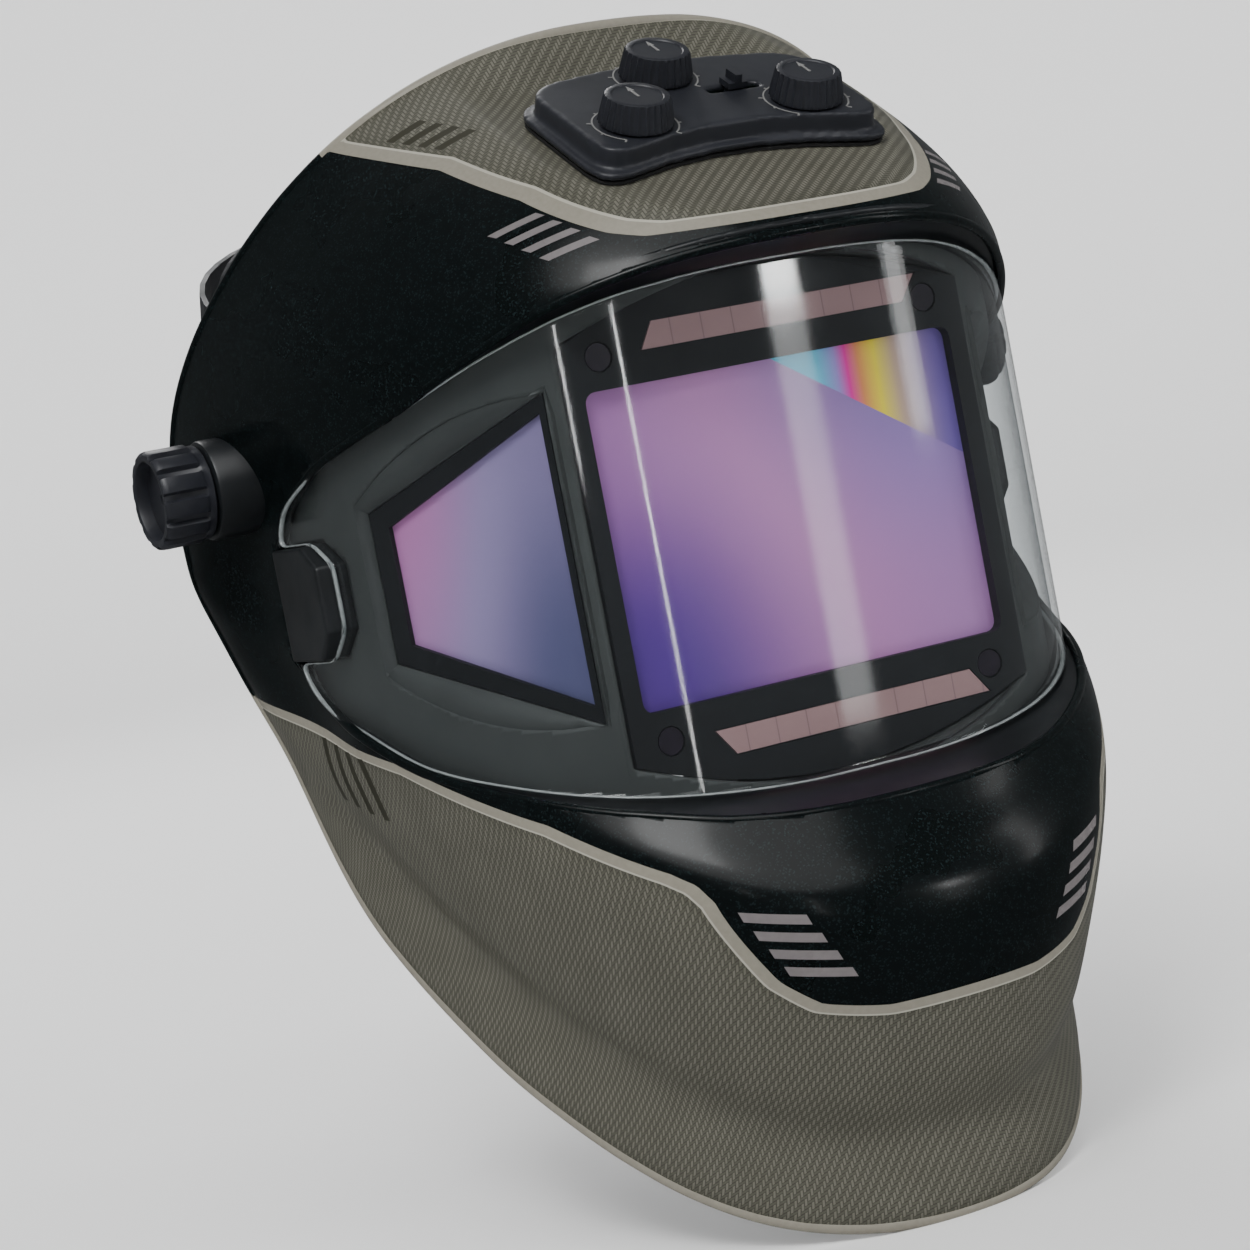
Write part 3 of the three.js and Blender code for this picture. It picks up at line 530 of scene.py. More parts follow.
RIB_BACK_Y = 62.0
SHELL_ROWS = np.array([
    [-30, 121, 0, 119, 2.3], [-54, 105, 0, 119, 2.3], [-74, 93, 0, 119, 2.3], [-93, 82, 0, 119, 2.3],
    [-111, 70.5, 0, 119, 2.3], [-128, 57, 0, 119, 2.3], [-140, 43, 0, 119, 2.3], [-145, 30, 0, 119, 2.3],
    [-144, 8, 0, 119, 2.3], [-138, -40, 0, 119, 2.3], [-137, -88, -3, 119, 2.3],
    [-146, -110, -8, 119, 2.3], [-156, -130, -12, 118, 2.3], [-154, -152, -20, 115, 2.25],
    [-143, -180, -34, 110, 2.2], [-130, -206, -48, 104, 2.15], [-118, -230, -60, 98, 2.1],
    [-106, -252, -70, 93, 2.1]])
WALL = 2.6
RIM = catmull([
    [-90, 137], [-54, 105], [-14, 64], [18, 30], [29, 8], [31, -15], [25, -60], [13, -95],
    [-7, -124], [-33, -151], [-67, -179.5], [-118, -214], [-190, -232]], 96)
OPENING = np.vstack([
    catmull([[-200, 38], [-150, 38], [-124, 31], [-104, 22], [-80, 11.5], [-54, 3.5], [-36, -2.5],
             [-21, -9.5], [-14, -19]], 60),
    catmull([[-12, -45], [-17, -57], [-28, -65.5], [-44, -72], [-66, -82], [-92, -90], [-120, -99],
             [-150, -108], [-200, -110]], 60)])
LATCH = [[-12, -50.5], [-12, -19.5], [-34, -19.5], [-42.5, -25.5], [-42.5, -43], [-35, -50.5]]
# Clearances of the hood, lens and plate round the latch, and how far each part passes the opening.
HOOD_GAP, LENS_GAP, PLATE_GAP = 1.2, 0.6, 0.5
LENS_PAST, LIP_PAST, PLATE_PAST = -0.6, 1.2, 2.6
FLARE_HEIGHTS, FLARE_OUT, FLARE_WIDTH = (-130, -70), 8, 24
GROOVE_DEPTH, GROOVE_WIDTH = 2, 8
CHEEK_CENTRE, CHEEK_RADII, CHEEK_DEPTH = (-18, -32), (45, 55), 6
SEAT_TILT = math.radians(30)
SEAT_ORIGIN = np.array([0, -113.3, 58.6])
SEAT_NORMAL = np.array([0, -math.sin(SEAT_TILT), math.cos(SEAT_TILT)])


def from_rim(points):
    away, side, _ = segment_distance(points, RIM, closed=False)
    return -side * away


def ribs(u, v):
    last = len(SHELL_ROWS) - 1
    at = np.clip(u, 0, 1) * last
    i = np.minimum(at.astype(int), last - 1)
    f = (at - i)[:, None]
    a, b, c, d = (SHELL_ROWS[np.clip(i + k, 0, last)] for k in (-1, 0, 1, 2))
    row = b + 0.5 * f * (c - a + f * (2 * a - 5 * b + 4 * c - d + f * (3 * (b - c) + d - a)))
    y, z, back_z, half, square = row.T
    angle = (2 * v - 1) * math.pi / 2
    reach = np.maximum(np.cos(angle), 0) ** (2 / square)
    side = np.sign(angle) * np.abs(np.sin(angle)) ** (2 / square)
    return np.stack([half * side, RIB_BACK_Y + (y - RIB_BACK_Y) * reach, back_z + (z - back_z) * reach], 1)


def rib_normal(u, v):
    step = 0.004
    inside = 0.5 + (v - 0.5) * 0.995
    du = ribs(np.minimum(u + step, 1), inside) - ribs(np.maximum(u - step, 0), inside)
    dv = ribs(u, inside + step / 2) - ribs(u, inside - step / 2)
    n = np.cross(du, dv)
    return n / np.linalg.norm(n, axis=1)[:, None]


def hood(u, v):
    p = ribs(u, v)
    rim = from_rim(p[:, 1:])
    low = 1 - ramp(p[:, 2], *FLARE_HEIGHTS)
    groove = GROOVE_DEPTH * np.exp(-(((rim - FLARE_WIDTH) / GROOVE_WIDTH) ** 2))
    relief = low * (FLARE_OUT * (1 - ramp(rim, 0, FLARE_WIDTH)) - groove)
    p = p + rib_normal(u, v) * relief[:, None]
    proud = np.maximum((p - SEAT_ORIGIN) @ SEAT_NORMAL, 0)
    within = (1 - ramp(np.abs(p[:, 0]), 46, 58)) * (1 - ramp(p[:, 1], -66, -52))
    p = p - SEAT_NORMAL * (proud * within)[:, None]
    away = np.hypot(*((p[:, 1:] - CHEEK_CENTRE) / CHEEK_RADII).T)
    hollow = CHEEK_DEPTH * (1 - ramp(away, 0.35, 1)) * ramp(np.abs(p[:, 0]), 70, 105)
    p[:, 0] -= np.sign(p[:, 0]) * hollow
    return p


def grown(outline, distance):
    a = np.array(outline, float)
    turn = 1 if np.sum(a[:, 0] * np.roll(a[:, 1], -1) - np.roll(a[:, 0], -1) * a[:, 1]) > 0 else -1
    d = np.roll(a, -1, 0) - a
    n = turn * np.stack([d[:, 1], -d[:, 0]], 1) / np.linalg.norm(d, axis=1)[:, None]
    before = np.roll(n, 1, 0)
    return a + distance * (before + n) / (1 + np.sum(before * n, axis=1))[:, None]


# ---- hood finish

# Edges of the printed panels in the side view, each closed off beyond the hood.
UPPER_PANEL = [
    [60, 110], [-10, 90], [-30, 84.5], [-40.4, 81.1], [-75.5, 70.4], [-103.3, 57.6], [-120, 48],
    [-126, 44.6], [-132, 42], [-141, 40.8], [-190, 40.5], [-190, 200], [60, 200]]
LOWER_PANEL = [
    [60, -52], [18, -61], [-20, -69.8], [-59.2, -79.6], [-103.6, -98.6], [-129, -114.4], [-133.5, -118.2],
    [-136, -123], [-140, -146], [-143.5, -153.5], [-149.5, -157.2], [-200, -158.5], [-200, -300], [60, -300]]
BORDER = 2.7
TWILL = 0.95

# Groups of four slanting bars: a corner of the first, along a bar, to the next bar, across a bar, mm.
BRIGHT_BARS = [
    [(-69, -101.2, 50), (11, -7.7, 3.1), (2.23, -4.64, -2.91), (1.33, -2.3, -1.16)],
    [(-54.2, -138.8, -126.3), (14.5, -8.3, -3.3), (2.9, -0.79, -5.21), (1.07, -0.17, -2.69)],
]
DARK_BARS = [
    [(-69.8, -51.7, 81.8), (8.9, -4.6, 3.5), (2.01, -5.51, -1.95), (0.9, -2.65, -1.0)],
    [(-106.5, -14.7, -71.8), (3.1, 0.4, -18.2), (0.39, -7.72, -1.83), (0.1, -3.05, -0.27)],
]


def bars(n, groups):
    """Mask of the slanting bars, the same on both sides of the hood."""
    place = n.vector("MULTIPLY", n.vector("ABSOLUTE", n.place()), (-1000.0, 1.0, 1.0))
    signed = n.vector("MULTIPLY", n.place(), (0.0, 1000.0, 1000.0))
    place = n.vector("ADD", n.vector("MULTIPLY", place, (1.0, 0.0, 0.0)), signed)
    total = None
    for corner, along, step, across in groups:
        both = np.array([along, step], float)
        s_row, t_row = np.linalg.pinv(both.T)
        s_across, t_across = s_row @ np.array(across), t_row @ np.array(across)
        local = n.vector("SUBTRACT", place, corner)
        s = n.vector("DOT_PRODUCT", local, tuple(s_row), out=1)
        t = n.vector("DOT_PRODUCT", local, tuple(t_row), out=1)
        part = n.math("FRACT", t)
        s = n.math("SUBTRACT", s, n.math("MULTIPLY", part, float(s_across / t_across)))
        middle = tuple(np.array(corner) + 0.5 * both[0] + 1.8 * both[1])
        near = n.math("LESS_THAN", n.vector("DISTANCE", place, middle, out=1), 26.0)
        tests = [
            n.math("GREATER_THAN", s, 0.0), n.math("LESS_THAN", s, 1.0),
            n.math("GREATER_THAN", t, 0.0), n.math("LESS_THAN", t, 4.0),
            n.math("LESS_THAN", part, float(t_across)),
        ]
        for test in tests:
            near = n.math("MULTIPLY", near, test)
        total = near if total is None else n.math("MAXIMUM", total, near)
    return total


def hood_material():
    """Gloss black with a pearl fleck, and printed twill panels with a plain border, inside which a thin
    bright line is painted as a highlight along the panel's edge.
    """
    n = Nodes("hood_finish")
    fleck = n.cells(2600.0)
    sparkle = n.between(n.split(fleck["Color"])[0], 0.8, 1.0)
    black = n.mix(sparkle, (0.002, 0.0034, 0.0036), (0.008, 0.014, 0.015))
    weave = n.split(n.attribute("weave", "Vector"))
    a = n.math("DIVIDE", weave[0], TWILL)
    b = n.math("DIVIDE", weave[1], TWILL)
    step = n.math("FLOORED_MODULO", n.math("ADD", n.math("FLOOR", a), n.math("FLOOR", b)), 4.0)
    over = n.math("LESS_THAN", step, 1.5)
    crown_a = n.math("SINE", n.math("MULTIPLY", n.math("FRACT", a), math.pi))
    crown_b = n.math("SINE", n.math("MULTIPLY", n.math("FRACT", b), math.pi))
    crown = n.math("ADD", n.math("MULTIPLY", over, crown_a),
                   n.math("MULTIPLY", n.math("SUBTRACT", 1.0, over), crown_b))
    patchy = n.noise(90.0, 2.0)
    warp = n.mix(patchy, (0.104, 0.102, 0.082), (0.14, 0.136, 0.111))
    weft = n.mix(patchy, (0.067, 0.065, 0.051), (0.086, 0.084, 0.068))
    tow = n.mix(over, weft, warp)
    tow = n.mix(n.between(crown, 0.0, 0.8), (0.036, 0.035, 0.027), tow)
    panel = n.attribute("panel")
    border = n.mix(n.noise(700.0), (0.185, 0.174, 0.142), (0.235, 0.22, 0.18))
    # A thin bright line just inside the border is a painted highlight: it stands for the light caught along
    # the ridge of the panel's edge.
    line = n.math("LESS_THAN", n.math("ABSOLUTE", n.math("SUBTRACT", panel, BORDER)), 0.22)
    inner = n.between(panel, BORDER + 0.3, BORDER + 3.0, 0.78, 1.0)
    tow = n.mix(inner, (0.03, 0.03, 0.02), tow)
    print_colour = n.mix(n.math("GREATER_THAN", panel, BORDER), border, tow)
    # Lays the painted highlight line over the print.
    print_colour = n.mix(line, print_colour, (0.33, 0.32, 0.27))
    print_colour = n.mix(bars(n, DARK_BARS), print_colour, (0.026, 0.025, 0.016))
    bar_colour = n.mix(n.noise(500.0), (0.125, 0.113, 0.115), (0.165, 0.15, 0.152))
    black = n.mix(bars(n, BRIGHT_BARS), black, bar_colour)
    printed = n.math("GREATER_THAN", panel, 0.0)
    colour = n.mix(printed, black, print_colour)
    peel = n.noise(260.0, 1.0)
    rough = n.between(n.noise(35.0, 3.0), 0.25, 0.8, 0.24, 0.36)
    dull = n.math("ADD", rough, n.math("MULTIPLY", printed, 0.12))
    n.set(Coat_Weight=0.12, Coat_Roughness=0.16, Specular_IOR_Level=0.08)
    return n.set(Base_Color=colour, Roughness=dull, Normal=n.bump(peel, 0.05, 0.0006))


def add_finish(mesh, panel, weave):
    attribute = mesh.attributes.new("panel", "FLOAT", "POINT")
    attribute.data.foreach_set("value", np.asarray(panel, np.float32))
    attribute = mesh.attributes.new("weave", "FLOAT_VECTOR", "POINT")
    attribute.data.foreach_set("vector", np.asarray(weave, np.float32).ravel())


def panel_distance(points):
    """How far inside a printed panel a point is, in the side view."""
    side = points[:, 1:]
    away = np.maximum(-outside(side, UPPER_PANEL), -outside(side, LOWER_PANEL))
    return np.minimum(away, from_rim(side) + 1.5)


def weave_place(u, v):
    """Lengths across and down the hood, so that the weave keeps its size."""
    columns, rows = 64, 80
    across = np.zeros(len(u))
    down = np.zeros(len(u))
    previous = hood(u, np.full(len(u), 0.5))
    for k in range(1, columns // 2 + 1):
        part = 0.5 + (v - 0.5) * 2 * k / columns
        current = hood(u, part)
        across += np.linalg.norm(current - previous, axis=1)
        previous = current
    previous = hood(np.zeros(len(u)), v)
    for k in range(1, rows + 1):
        current = hood(u * k / rows, v)
        down += np.linalg.norm(current - previous, axis=1)
        previous = current
    across *= np.sign(v - 0.5)
    return np.stack([across, down, np.zeros(len(u))], 1)


def make_hood(material, lining):
    hole = grown(LATCH, HOOD_GAP)

    def field(p):
        side = p[:, 1:]
        f = np.minimum(from_rim(side), outside(side, OPENING))
        return np.minimum(f, np.where(np.abs(p[:, 0]) > 80, outside(side, hole), 1e3))

    rows, columns = ((210, 250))
    uv, faces = trimmed_sheet(hood, rows, columns, field)
    points = hood(uv[:, 0], uv[:, 1])
    mesh = mesh_of("hood", points, [f[::-1] for f in faces])
    add_finish(mesh, panel_distance(points), weave_place(uv[:, 0], uv[:, 1]))
    shell = link("hood", mesh, material, "shell", "outer_shell", slot="shell_gloss")
    with editing(mesh) as bm:
        bmesh.ops.remove_doubles(bm, verts=bm.verts, dist=0.35 * MM)
    loops = edge_loops(mesh)
    mesh.materials.append(lining)
    modifier(shell, "SOLIDIFY", thickness=WALL * MM, offset=-1.0, use_rim=True, material_offset=1)
    return loops


def make_bead(name, loop, spacing, soften, section, material, slot, panel=None):
    """A tube that follows an open edge. panel gives the print's share of each point."""
    vertices, faces = swept(*even_loop(*loop, spacing, soften), section)
    mesh = mesh_of(name, vertices, faces)
    if panel:
        add_finish(mesh, panel(np.array(vertices)), np.zeros((len(vertices), 3)))
    link(name, mesh, material, "shell", slot=slot)


def make_rim(loop, material):
    """The bead rolled round the hood's open edge."""

    def printed(points):
        return np.where(panel_distance(points) > -1.2, 0.5, -1.0)

    make_bead("rim_bead", loop, 2.2, 6, oval(1.9, 1.9, lift=-WALL / 2 + 0.1), material,
              "shell_gloss", printed)


# ---- window

LENS_HALF, LENS_DEPTH, LENS_SQUARE = 108.5, 128.0, 2.45
LIP_INSET = 7
PLATE_OUT, RECESS_OUT = -4.5, -4.6  # where the plate and its recesses lie, measured out from the lens
RECESS_DEPTH, FILTER_BACK = 14, -5
COLLAR_FRONT, COLLAR_BACK = -107.0, -100.0


def lens_plan(t, out=0.0):
    """Plan of the lens moved outwards, at even lengths round it for t from 0 to 1."""
    angle = math.pi * (np.linspace(0, 1, 2001) - 0.5)
    across = (LENS_HALF + out) * np.sign(angle) * np.abs(np.sin(angle)) ** (2 / LENS_SQUARE)
    depth = (LENS_DEPTH + out) * np.maximum(np.cos(angle), 0) ** (2 / LENS_SQUARE)
    length = np.concatenate([[0], np.cumsum(np.hypot(np.diff(across), np.diff(depth)))])
    at = np.asarray(t) * length[-1]
    return np.stack([np.interp(at, length, across), -np.interp(at, length, depth)], 1)


def u_sheet(name, out, low, high, field, rows, columns):
    """A sheet bent to the lens plan, trimmed in the side view and the front view."""

    def surface(u, v):
        xy = lens_plan(v, out)
        return np.stack([xy[:, 0], xy[:, 1], low + (high - low) * u], 1)

    uv, faces = trimmed_sheet(surface, rows, columns, field)
    points = surface(uv[:, 0], uv[:, 1])
    mesh = mesh_of(name, points, faces)
    with editing(mesh) as bm:
        bmesh.ops.remove_doubles(bm, verts=bm.verts, dist=0.25 * MM)
        bmesh.ops.recalc_face_normals(bm, faces=bm.faces)
        middle = next(f for f in bm.faces if abs(f.calc_center_median().x) < 0.02)
        if middle.normal.y > 0:
            bmesh.ops.reverse_faces(bm, faces=bm.faces)
    return mesh


def clear_material():
    """Clear polycarbonate: sees through, mirrors at a glance and is faintly scuffed."""
    n = Nodes("clear_polycarbonate")
    see = n.add("BsdfTransparent", {"Color": (0.9, 0.915, 0.92, 1)})
    scuff = n.noise(40.0, 6.0, 0.7)
    gloss = n.add("BsdfGlossy", {
        "Roughness": n.between(scuff, 0.35, 0.75, 0.05, 0.09), "Color": (1, 1, 1, 1),
        "Normal": n.bump(n.noise(9.0, 1.0), 0.02, 0.002)})
    facing = n.add("LayerWeight", {}, "Facing")
    share = n.math("MULTIPLY_ADD", n.math("POWER", facing, 4.5), 0.75, 0.025)
    mixed = n.add("MixShader", {0: share, 1: see, 2: gloss})
    n.put(n.tree.nodes["Material Output"], "Surface", mixed)
    return n.material


FILTER_Z = -35.0


def cartridge_outline(extra):
    half, corner, crown = 60, 54, 67
    t = np.linspace(1, -1, 41)
    bow = corner + extra + (crown - corner) * (1 - t * t)
    top = np.stack([t * (half + extra), FILTER_Z + bow], 1)
    low = np.stack([-t * (half + extra), FILTER_Z - bow], 1)
    return np.vstack([top, low])


SIDE_CENTRE = np.array([-79.1, -80.8, -34.0])
SIDE_TURN = math.radians(61.1)
SIDE_AXES = np.array([
    [math.cos(SIDE_TURN), -math.sin(SIDE_TURN), 0],
    [0, 0, 1],
    [-math.sin(SIDE_TURN), -math.cos(SIDE_TURN), 0]])
SIDE_OUTLINE = np.array([[29.4, -42.5], [29.4, 42.5], [-33, 20], [-33, -20]])
MOUTH = np.array([[30.5, -58], [30.5, 58], [-41, 31], [-41, -31]])


def side_place(u, v, w):
    return SIDE_CENTRE + u * SIDE_AXES[0] + v * SIDE_AXES[1] + w * SIDE_AXES[2]


def funnel_planes(extra):
    inner = [side_place(u, v, 0) for u, v in grown(SIDE_OUTLINE, 0.4 + extra)]
    outer = [side_place(u, v, RECESS_DEPTH) for u, v in grown(MOUTH, extra)]
    centre = np.mean(inner + outer, axis=0)
    planes = []
    for k in range(4):
        a, b, c = inner[k], inner[(k + 1) % 4], outer[k]
        n = np.cross(b - a, c - a)
        n /= np.linalg.norm(n)
        if n @ (centre - a) > 0:
            n = -n
        planes.append((n, n @ a))
    return planes


def outside_funnel(p, extra=0.0):
    q = p * np.array([-1, 1, 1])[None]
    q = np.where(p[:, :1] < 0, p, q)
    return np.max([q @ n - d for n, d in funnel_planes(extra)], axis=0)


def make_window(shell_loop, hood_finish, lip_finish, frame_finish, clear):
    lens_edge = grown(OPENING, LENS_PAST)
    notch = grown(LATCH, LENS_GAP)

    def lens_field(p):
        side = p[:, 1:]
        return np.minimum(-outside(side, lens_edge), outside(side, notch))

    rows, columns = ((110, 260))
    mesh = u_sheet("view_lens", 0, -112, 40, lens_field, rows, columns)
    lens = link("view_lens", mesh, clear, "shell", "cover_lens", slot="clear_lens")
    modifier(lens, "SOLIDIFY", thickness=1.9 * MM, offset=-1.0, use_rim=True)
    make_bead("lens_cut_edge", edge_loops(mesh)[0], 1.6, 3, oval(0.32, 0.75, lift=-0.95, sides=8),
              lens_edge_material(), "clear_lens")

    make_lip(shell_loop, lip_finish)
    make_bead("window_bead", shell_loop, 2.0, 3, oval(1.35, 1.35, lift=-1.1), hood_finish,
              "shell_gloss", lambda points: np.full(len(points), -5.0))
    make_frame_plate(frame_finish)


def make_lip(shell_loop, material):
    """The wall that turns in along X from the hood's opening edge to the ledge behind the lens."""
    line = grown(OPENING, LIP_PAST)
    length = lengths(line)
    reach = segment_distance(shell_loop[0][:, 1:], line, closed=False)[2]
    order = np.argsort(reach)
    shell_x = np.abs(shell_loop[0][order, 0])
    where = reach[order]

    def surface(u, v):
        at = u * length[-1]
        side = np.stack([np.interp(at, length, column) for column in line.T], 1)
        return np.column_stack([(2 * v - 1) * 122, side])

    def field(p):
        at = segment_distance(p[:, 1:], line, closed=False)[2]
        outer = np.interp(at, where, shell_x) - 0.6 - np.abs(p[:, 0])
        inner = 40 * ((np.abs(p[:, 0]) / (LENS_HALF - LIP_INSET)) ** LENS_SQUARE
                      + (np.minimum(p[:, 1], 0) / -(LENS_DEPTH - LIP_INSET)) ** LENS_SQUARE - 1)
        return np.minimum(outer, inner)

    rows, columns = ((260, 220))
    uv, faces = trimmed_sheet(surface, rows, columns, field)
    mesh = mesh_of("window_lip", surface(uv[:, 0], uv[:, 1]), faces)
    with editing(mesh) as bm:
        bmesh.ops.remove_doubles(bm, verts=bm.verts, dist=0.3 * MM)
        bm.normal_update()
        top = max(bm.faces, key=lambda f: f.calc_center_median().z)
        if top.normal.z < 0:
            bmesh.ops.reverse_faces(bm, faces=bm.faces)
    lip = link("window_lip", mesh, material, "shell", slot="shell_gloss")
    modifier(lip, "SOLIDIFY", thickness=1.6 * MM, offset=1.0, use_rim=True)


PIVOT_CLEAR = 16


def make_frame_plate(material):
    edge = grown(OPENING, PLATE_PAST)
    latch = grown(LATCH, PLATE_GAP)
    hole = cartridge_outline(0.5)

    def field(p):
        side = p[:, 1:]
        f = np.minimum(-outside(side, edge), outside(side, latch))
        f = np.minimum(f, np.hypot(*side.T) - PIVOT_CLEAR)
        f = np.minimum(f, outside_funnel(p))
        return np.minimum(f, outside(p[:, [0, 2]], hole))

    rows, columns = ((112, 260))
    mesh = u_sheet("frame_plate", PLATE_OUT, -114, 42, field, rows, columns)
    plate = link("frame_plate", mesh, material, "shell", "lens_frame", slot="frame_plastic")
    modifier(plate, "SOLIDIFY", thickness=2.4 * MM, offset=-1.0, use_rim=True)
    for sign, side in ((1, "right"), (-1, "left")):
        make_funnel(material, sign, side)
    make_collar(material)


def lens_level(points, direction, out):
    """Moves points along a direction until they lie on the lens plan moved outwards."""
    low, high = np.zeros(len(points)), np.full(len(points), 40.0)
    a, b = LENS_HALF + out, LENS_DEPTH + out
    for _ in range(30):
        middle = (low + high) / 2
        q = points + direction * middle[:, None]
        within = (np.abs(q[:, 0]) / a) ** LENS_SQUARE + (np.abs(q[:, 1]) / b) ** LENS_SQUARE < 1
        low = np.where(within, middle, low)
        high = np.where(within, high, middle)
    return points + direction * low[:, None]


def make_funnel(material, sign, side):
    """The bevelled recess from the plate down to a side filter."""
    inner, outer = grown(SIDE_OUTLINE, 0.4), MOUTH
    rings = []
    for k in range(4):
        for t in np.linspace(0, 1, 12, endpoint=False):
            foot = inner[k] * (1 - t) + inner[(k + 1) % 4] * t
            top = outer[k] * (1 - t) + outer[(k + 1) % 4] * t
            rings.append((side_place(*foot, 0), side_place(*top, RECESS_DEPTH)))
    foot = np.array([a for a, _ in rings])
    top = np.array([b for _, b in rings])
    direction = top - foot
    direction /= np.linalg.norm(direction, axis=1)[:, None]
    lip = lens_level(foot, direction, RECESS_OUT)
    deep = np.array([f + (side_place(0, 0, FILTER_BACK) - side_place(0, 0, 0)) for f in foot])
    points = np.vstack([deep, foot, lip]) * np.array([sign, 1, 1])
    faces = [face[::sign] for face in ring_quads(len(foot), 3)]
    mesh = mesh_of(f"side_recess_{side}", points, faces)
    piece = link(f"side_recess_{side}", mesh, material, "shell", slot="frame_plastic")
    smooth_by_angle(piece, 25)
    modifier(piece, "SOLIDIFY", thickness=1.6 * MM, offset=1.0, use_rim=True)


def make_collar(material):
    """The wall round the main cartridge."""
    outline = cartridge_outline(1.2)
    depth = -(LENS_DEPTH + RECESS_OUT) * np.maximum(
        1 - (np.abs(outline[:, 0]) / (LENS_HALF + RECESS_OUT)) ** LENS_SQUARE, 0) ** (1 / LENS_SQUARE)
    front = np.stack([outline[:, 0], depth + 0.2, outline[:, 1]], 1)
    back = np.stack([outline[:, 0], np.full(len(outline), COLLAR_BACK), outline[:, 1]], 1)
    front[:, 1] = np.minimum(front[:, 1], COLLAR_FRONT)
    mesh = mesh_of("cartridge_collar", np.vstack([front, back]), ring_quads(len(outline), 2))
    piece = link("cartridge_collar", mesh, material, "shell", slot="frame_plastic")
    smooth_by_angle(piece, 30)
    modifier(piece, "SOLIDIFY", thickness=1.4 * MM, offset=0.0, use_rim=True)


def lens_edge_material():
    n = Nodes("polished_cut_edge")
    tint = n.mix(n.noise(300.0), (0.22, 0.24, 0.24), (0.42, 0.45, 0.45))
    return n.set(Base_Color=tint, Roughness=0.25, Coat_Weight=0.6)


# ---- filters


def filter_material(name, near, middle, far, low, high, rainbow=False):
    """Interference-coated glass, whose tint drifts across the pane."""
    n = Nodes(name)
    x, _, z = n.split(n.place())
    across = n.between(x, low[0], high[0])
    up = n.between(z, low[1], high[1])
    slope = n.math("ADD", n.math("MULTIPLY", across, 0.65), n.math("MULTIPLY", up, 0.35))
    wave = n.math("ADD", slope, n.math("MULTIPLY", n.noise(14.0, 1.0), 0.12))
    colour = n.mix(n.between(wave, 0.06, 0.58), near, middle)
    colour = n.mix(n.between(wave, 0.5, 1.02), colour, far)
    if rainbow:
        fall = n.math("MULTIPLY", n.math("SUBTRACT", 0.0065, z), 1.55)
        run = n.math("SUBTRACT", n.math("SUBTRACT", x, 0.002), fall)
        edge = n.math("GREATER_THAN", run, 0.0)
        ramp_node = n.tree.nodes.new("ShaderNodeValToRGB")
        n.put(ramp_node, 0, n.between(x, 0.0, 0.0545))
        stops = ramp_node.color_ramp.elements
        stops[0].position, stops[0].color = 0.0, (0.03, 0.5, 0.75, 1)
        stops[1].position, stops[1].color = 1.0, (0.2, 0.13, 0.45, 1)
        bands = ((0.2, (0.12, 0.6, 0.85, 1)), (0.33, (0.4, 0.3, 0.75, 1)), (0.42, (0.9, 0.03, 0.4, 1)),
                 (0.52, (0.85, 0.3, 0.12, 1)), (0.66, (1.0, 0.8, 0.05, 1)), (0.8, (0.6, 0.42, 0.3, 1)))
        for position, tint in bands:
            stop = stops.new(position)
            stop.color = tint
        colour = n.mix(edge, colour, ramp_node.outputs[0])
    n.set(Coat_Weight=0.1, Coat_Roughness=0.03, Specular_IOR_Level=0.08)
    speck = n.noise(600.0, 1.0)
    return n.set(Base_Color=colour, Roughness=n.between(speck, 0.3, 0.7, 0.3, 0.36),
                 Normal=n.bump(n.noise(6.0, 0.0), 0.03, 0.002))


def solar_material():
    n = Nodes("solar_film")
    x = n.split(n.place())[0]
    stripe = n.math("FRACT", n.math("MULTIPLY", x, 110.0))
    line = n.math("LESS_THAN", stripe, 0.035)
    base = n.mix(n.noise(45.0, 3.0), (0.33, 0.2, 0.2), (0.4, 0.25, 0.25))
    n.set(Specular_IOR_Level=0.1)
    return n.set(Base_Color=n.mix(line, base, (0.25, 0.155, 0.16)), Roughness=0.5)


# ---- knobs and pod


def pod_point(u, v, w):
    c, s = math.cos(SEAT_TILT), math.sin(SEAT_TILT)
    return SEAT_ORIGIN + np.array([u, v * c - w * s, v * s + w * c])


POD_TOP, KNOB_GAP = 9.0, 0.5
DIALS = {"shade_knob": (-25.5, 10.5), "delay_knob": (-5.0, 37.0), "sensitivity_knob": (25.5, 10.5)}


def turned(profile, steps, dip, place):
    """Rings of a knob, and its end cap. profile holds (radius, height, share of the dip)."""
    points = []
    for radius, height, share in profile:
        for angle in (2 * math.pi * i / steps for i in range(steps)):
            r = radius - share * dip(angle)
            points.append(place(r * math.cos(angle), r * math.sin(angle), height))
    last = (len(profile) - 1) * steps
    return points, ring_quads(steps, len(profile)) + [tuple(last + i for i in range(steps))]


RIBS, RIB_DEPTH = 28, 0.55
FLUTES, FLUTE_DEPTH = 12, 1.5
DIAL_TURN = math.radians(140)


def rib_dip(angle):
    return RIB_DEPTH * (0.5 - 0.5 * math.cos(angle * RIBS)) ** 0.6


def flute_dip(angle):
    return FLUTE_DEPTH * float(ramp(math.cos(angle * FLUTES), 0.25, 0.75))


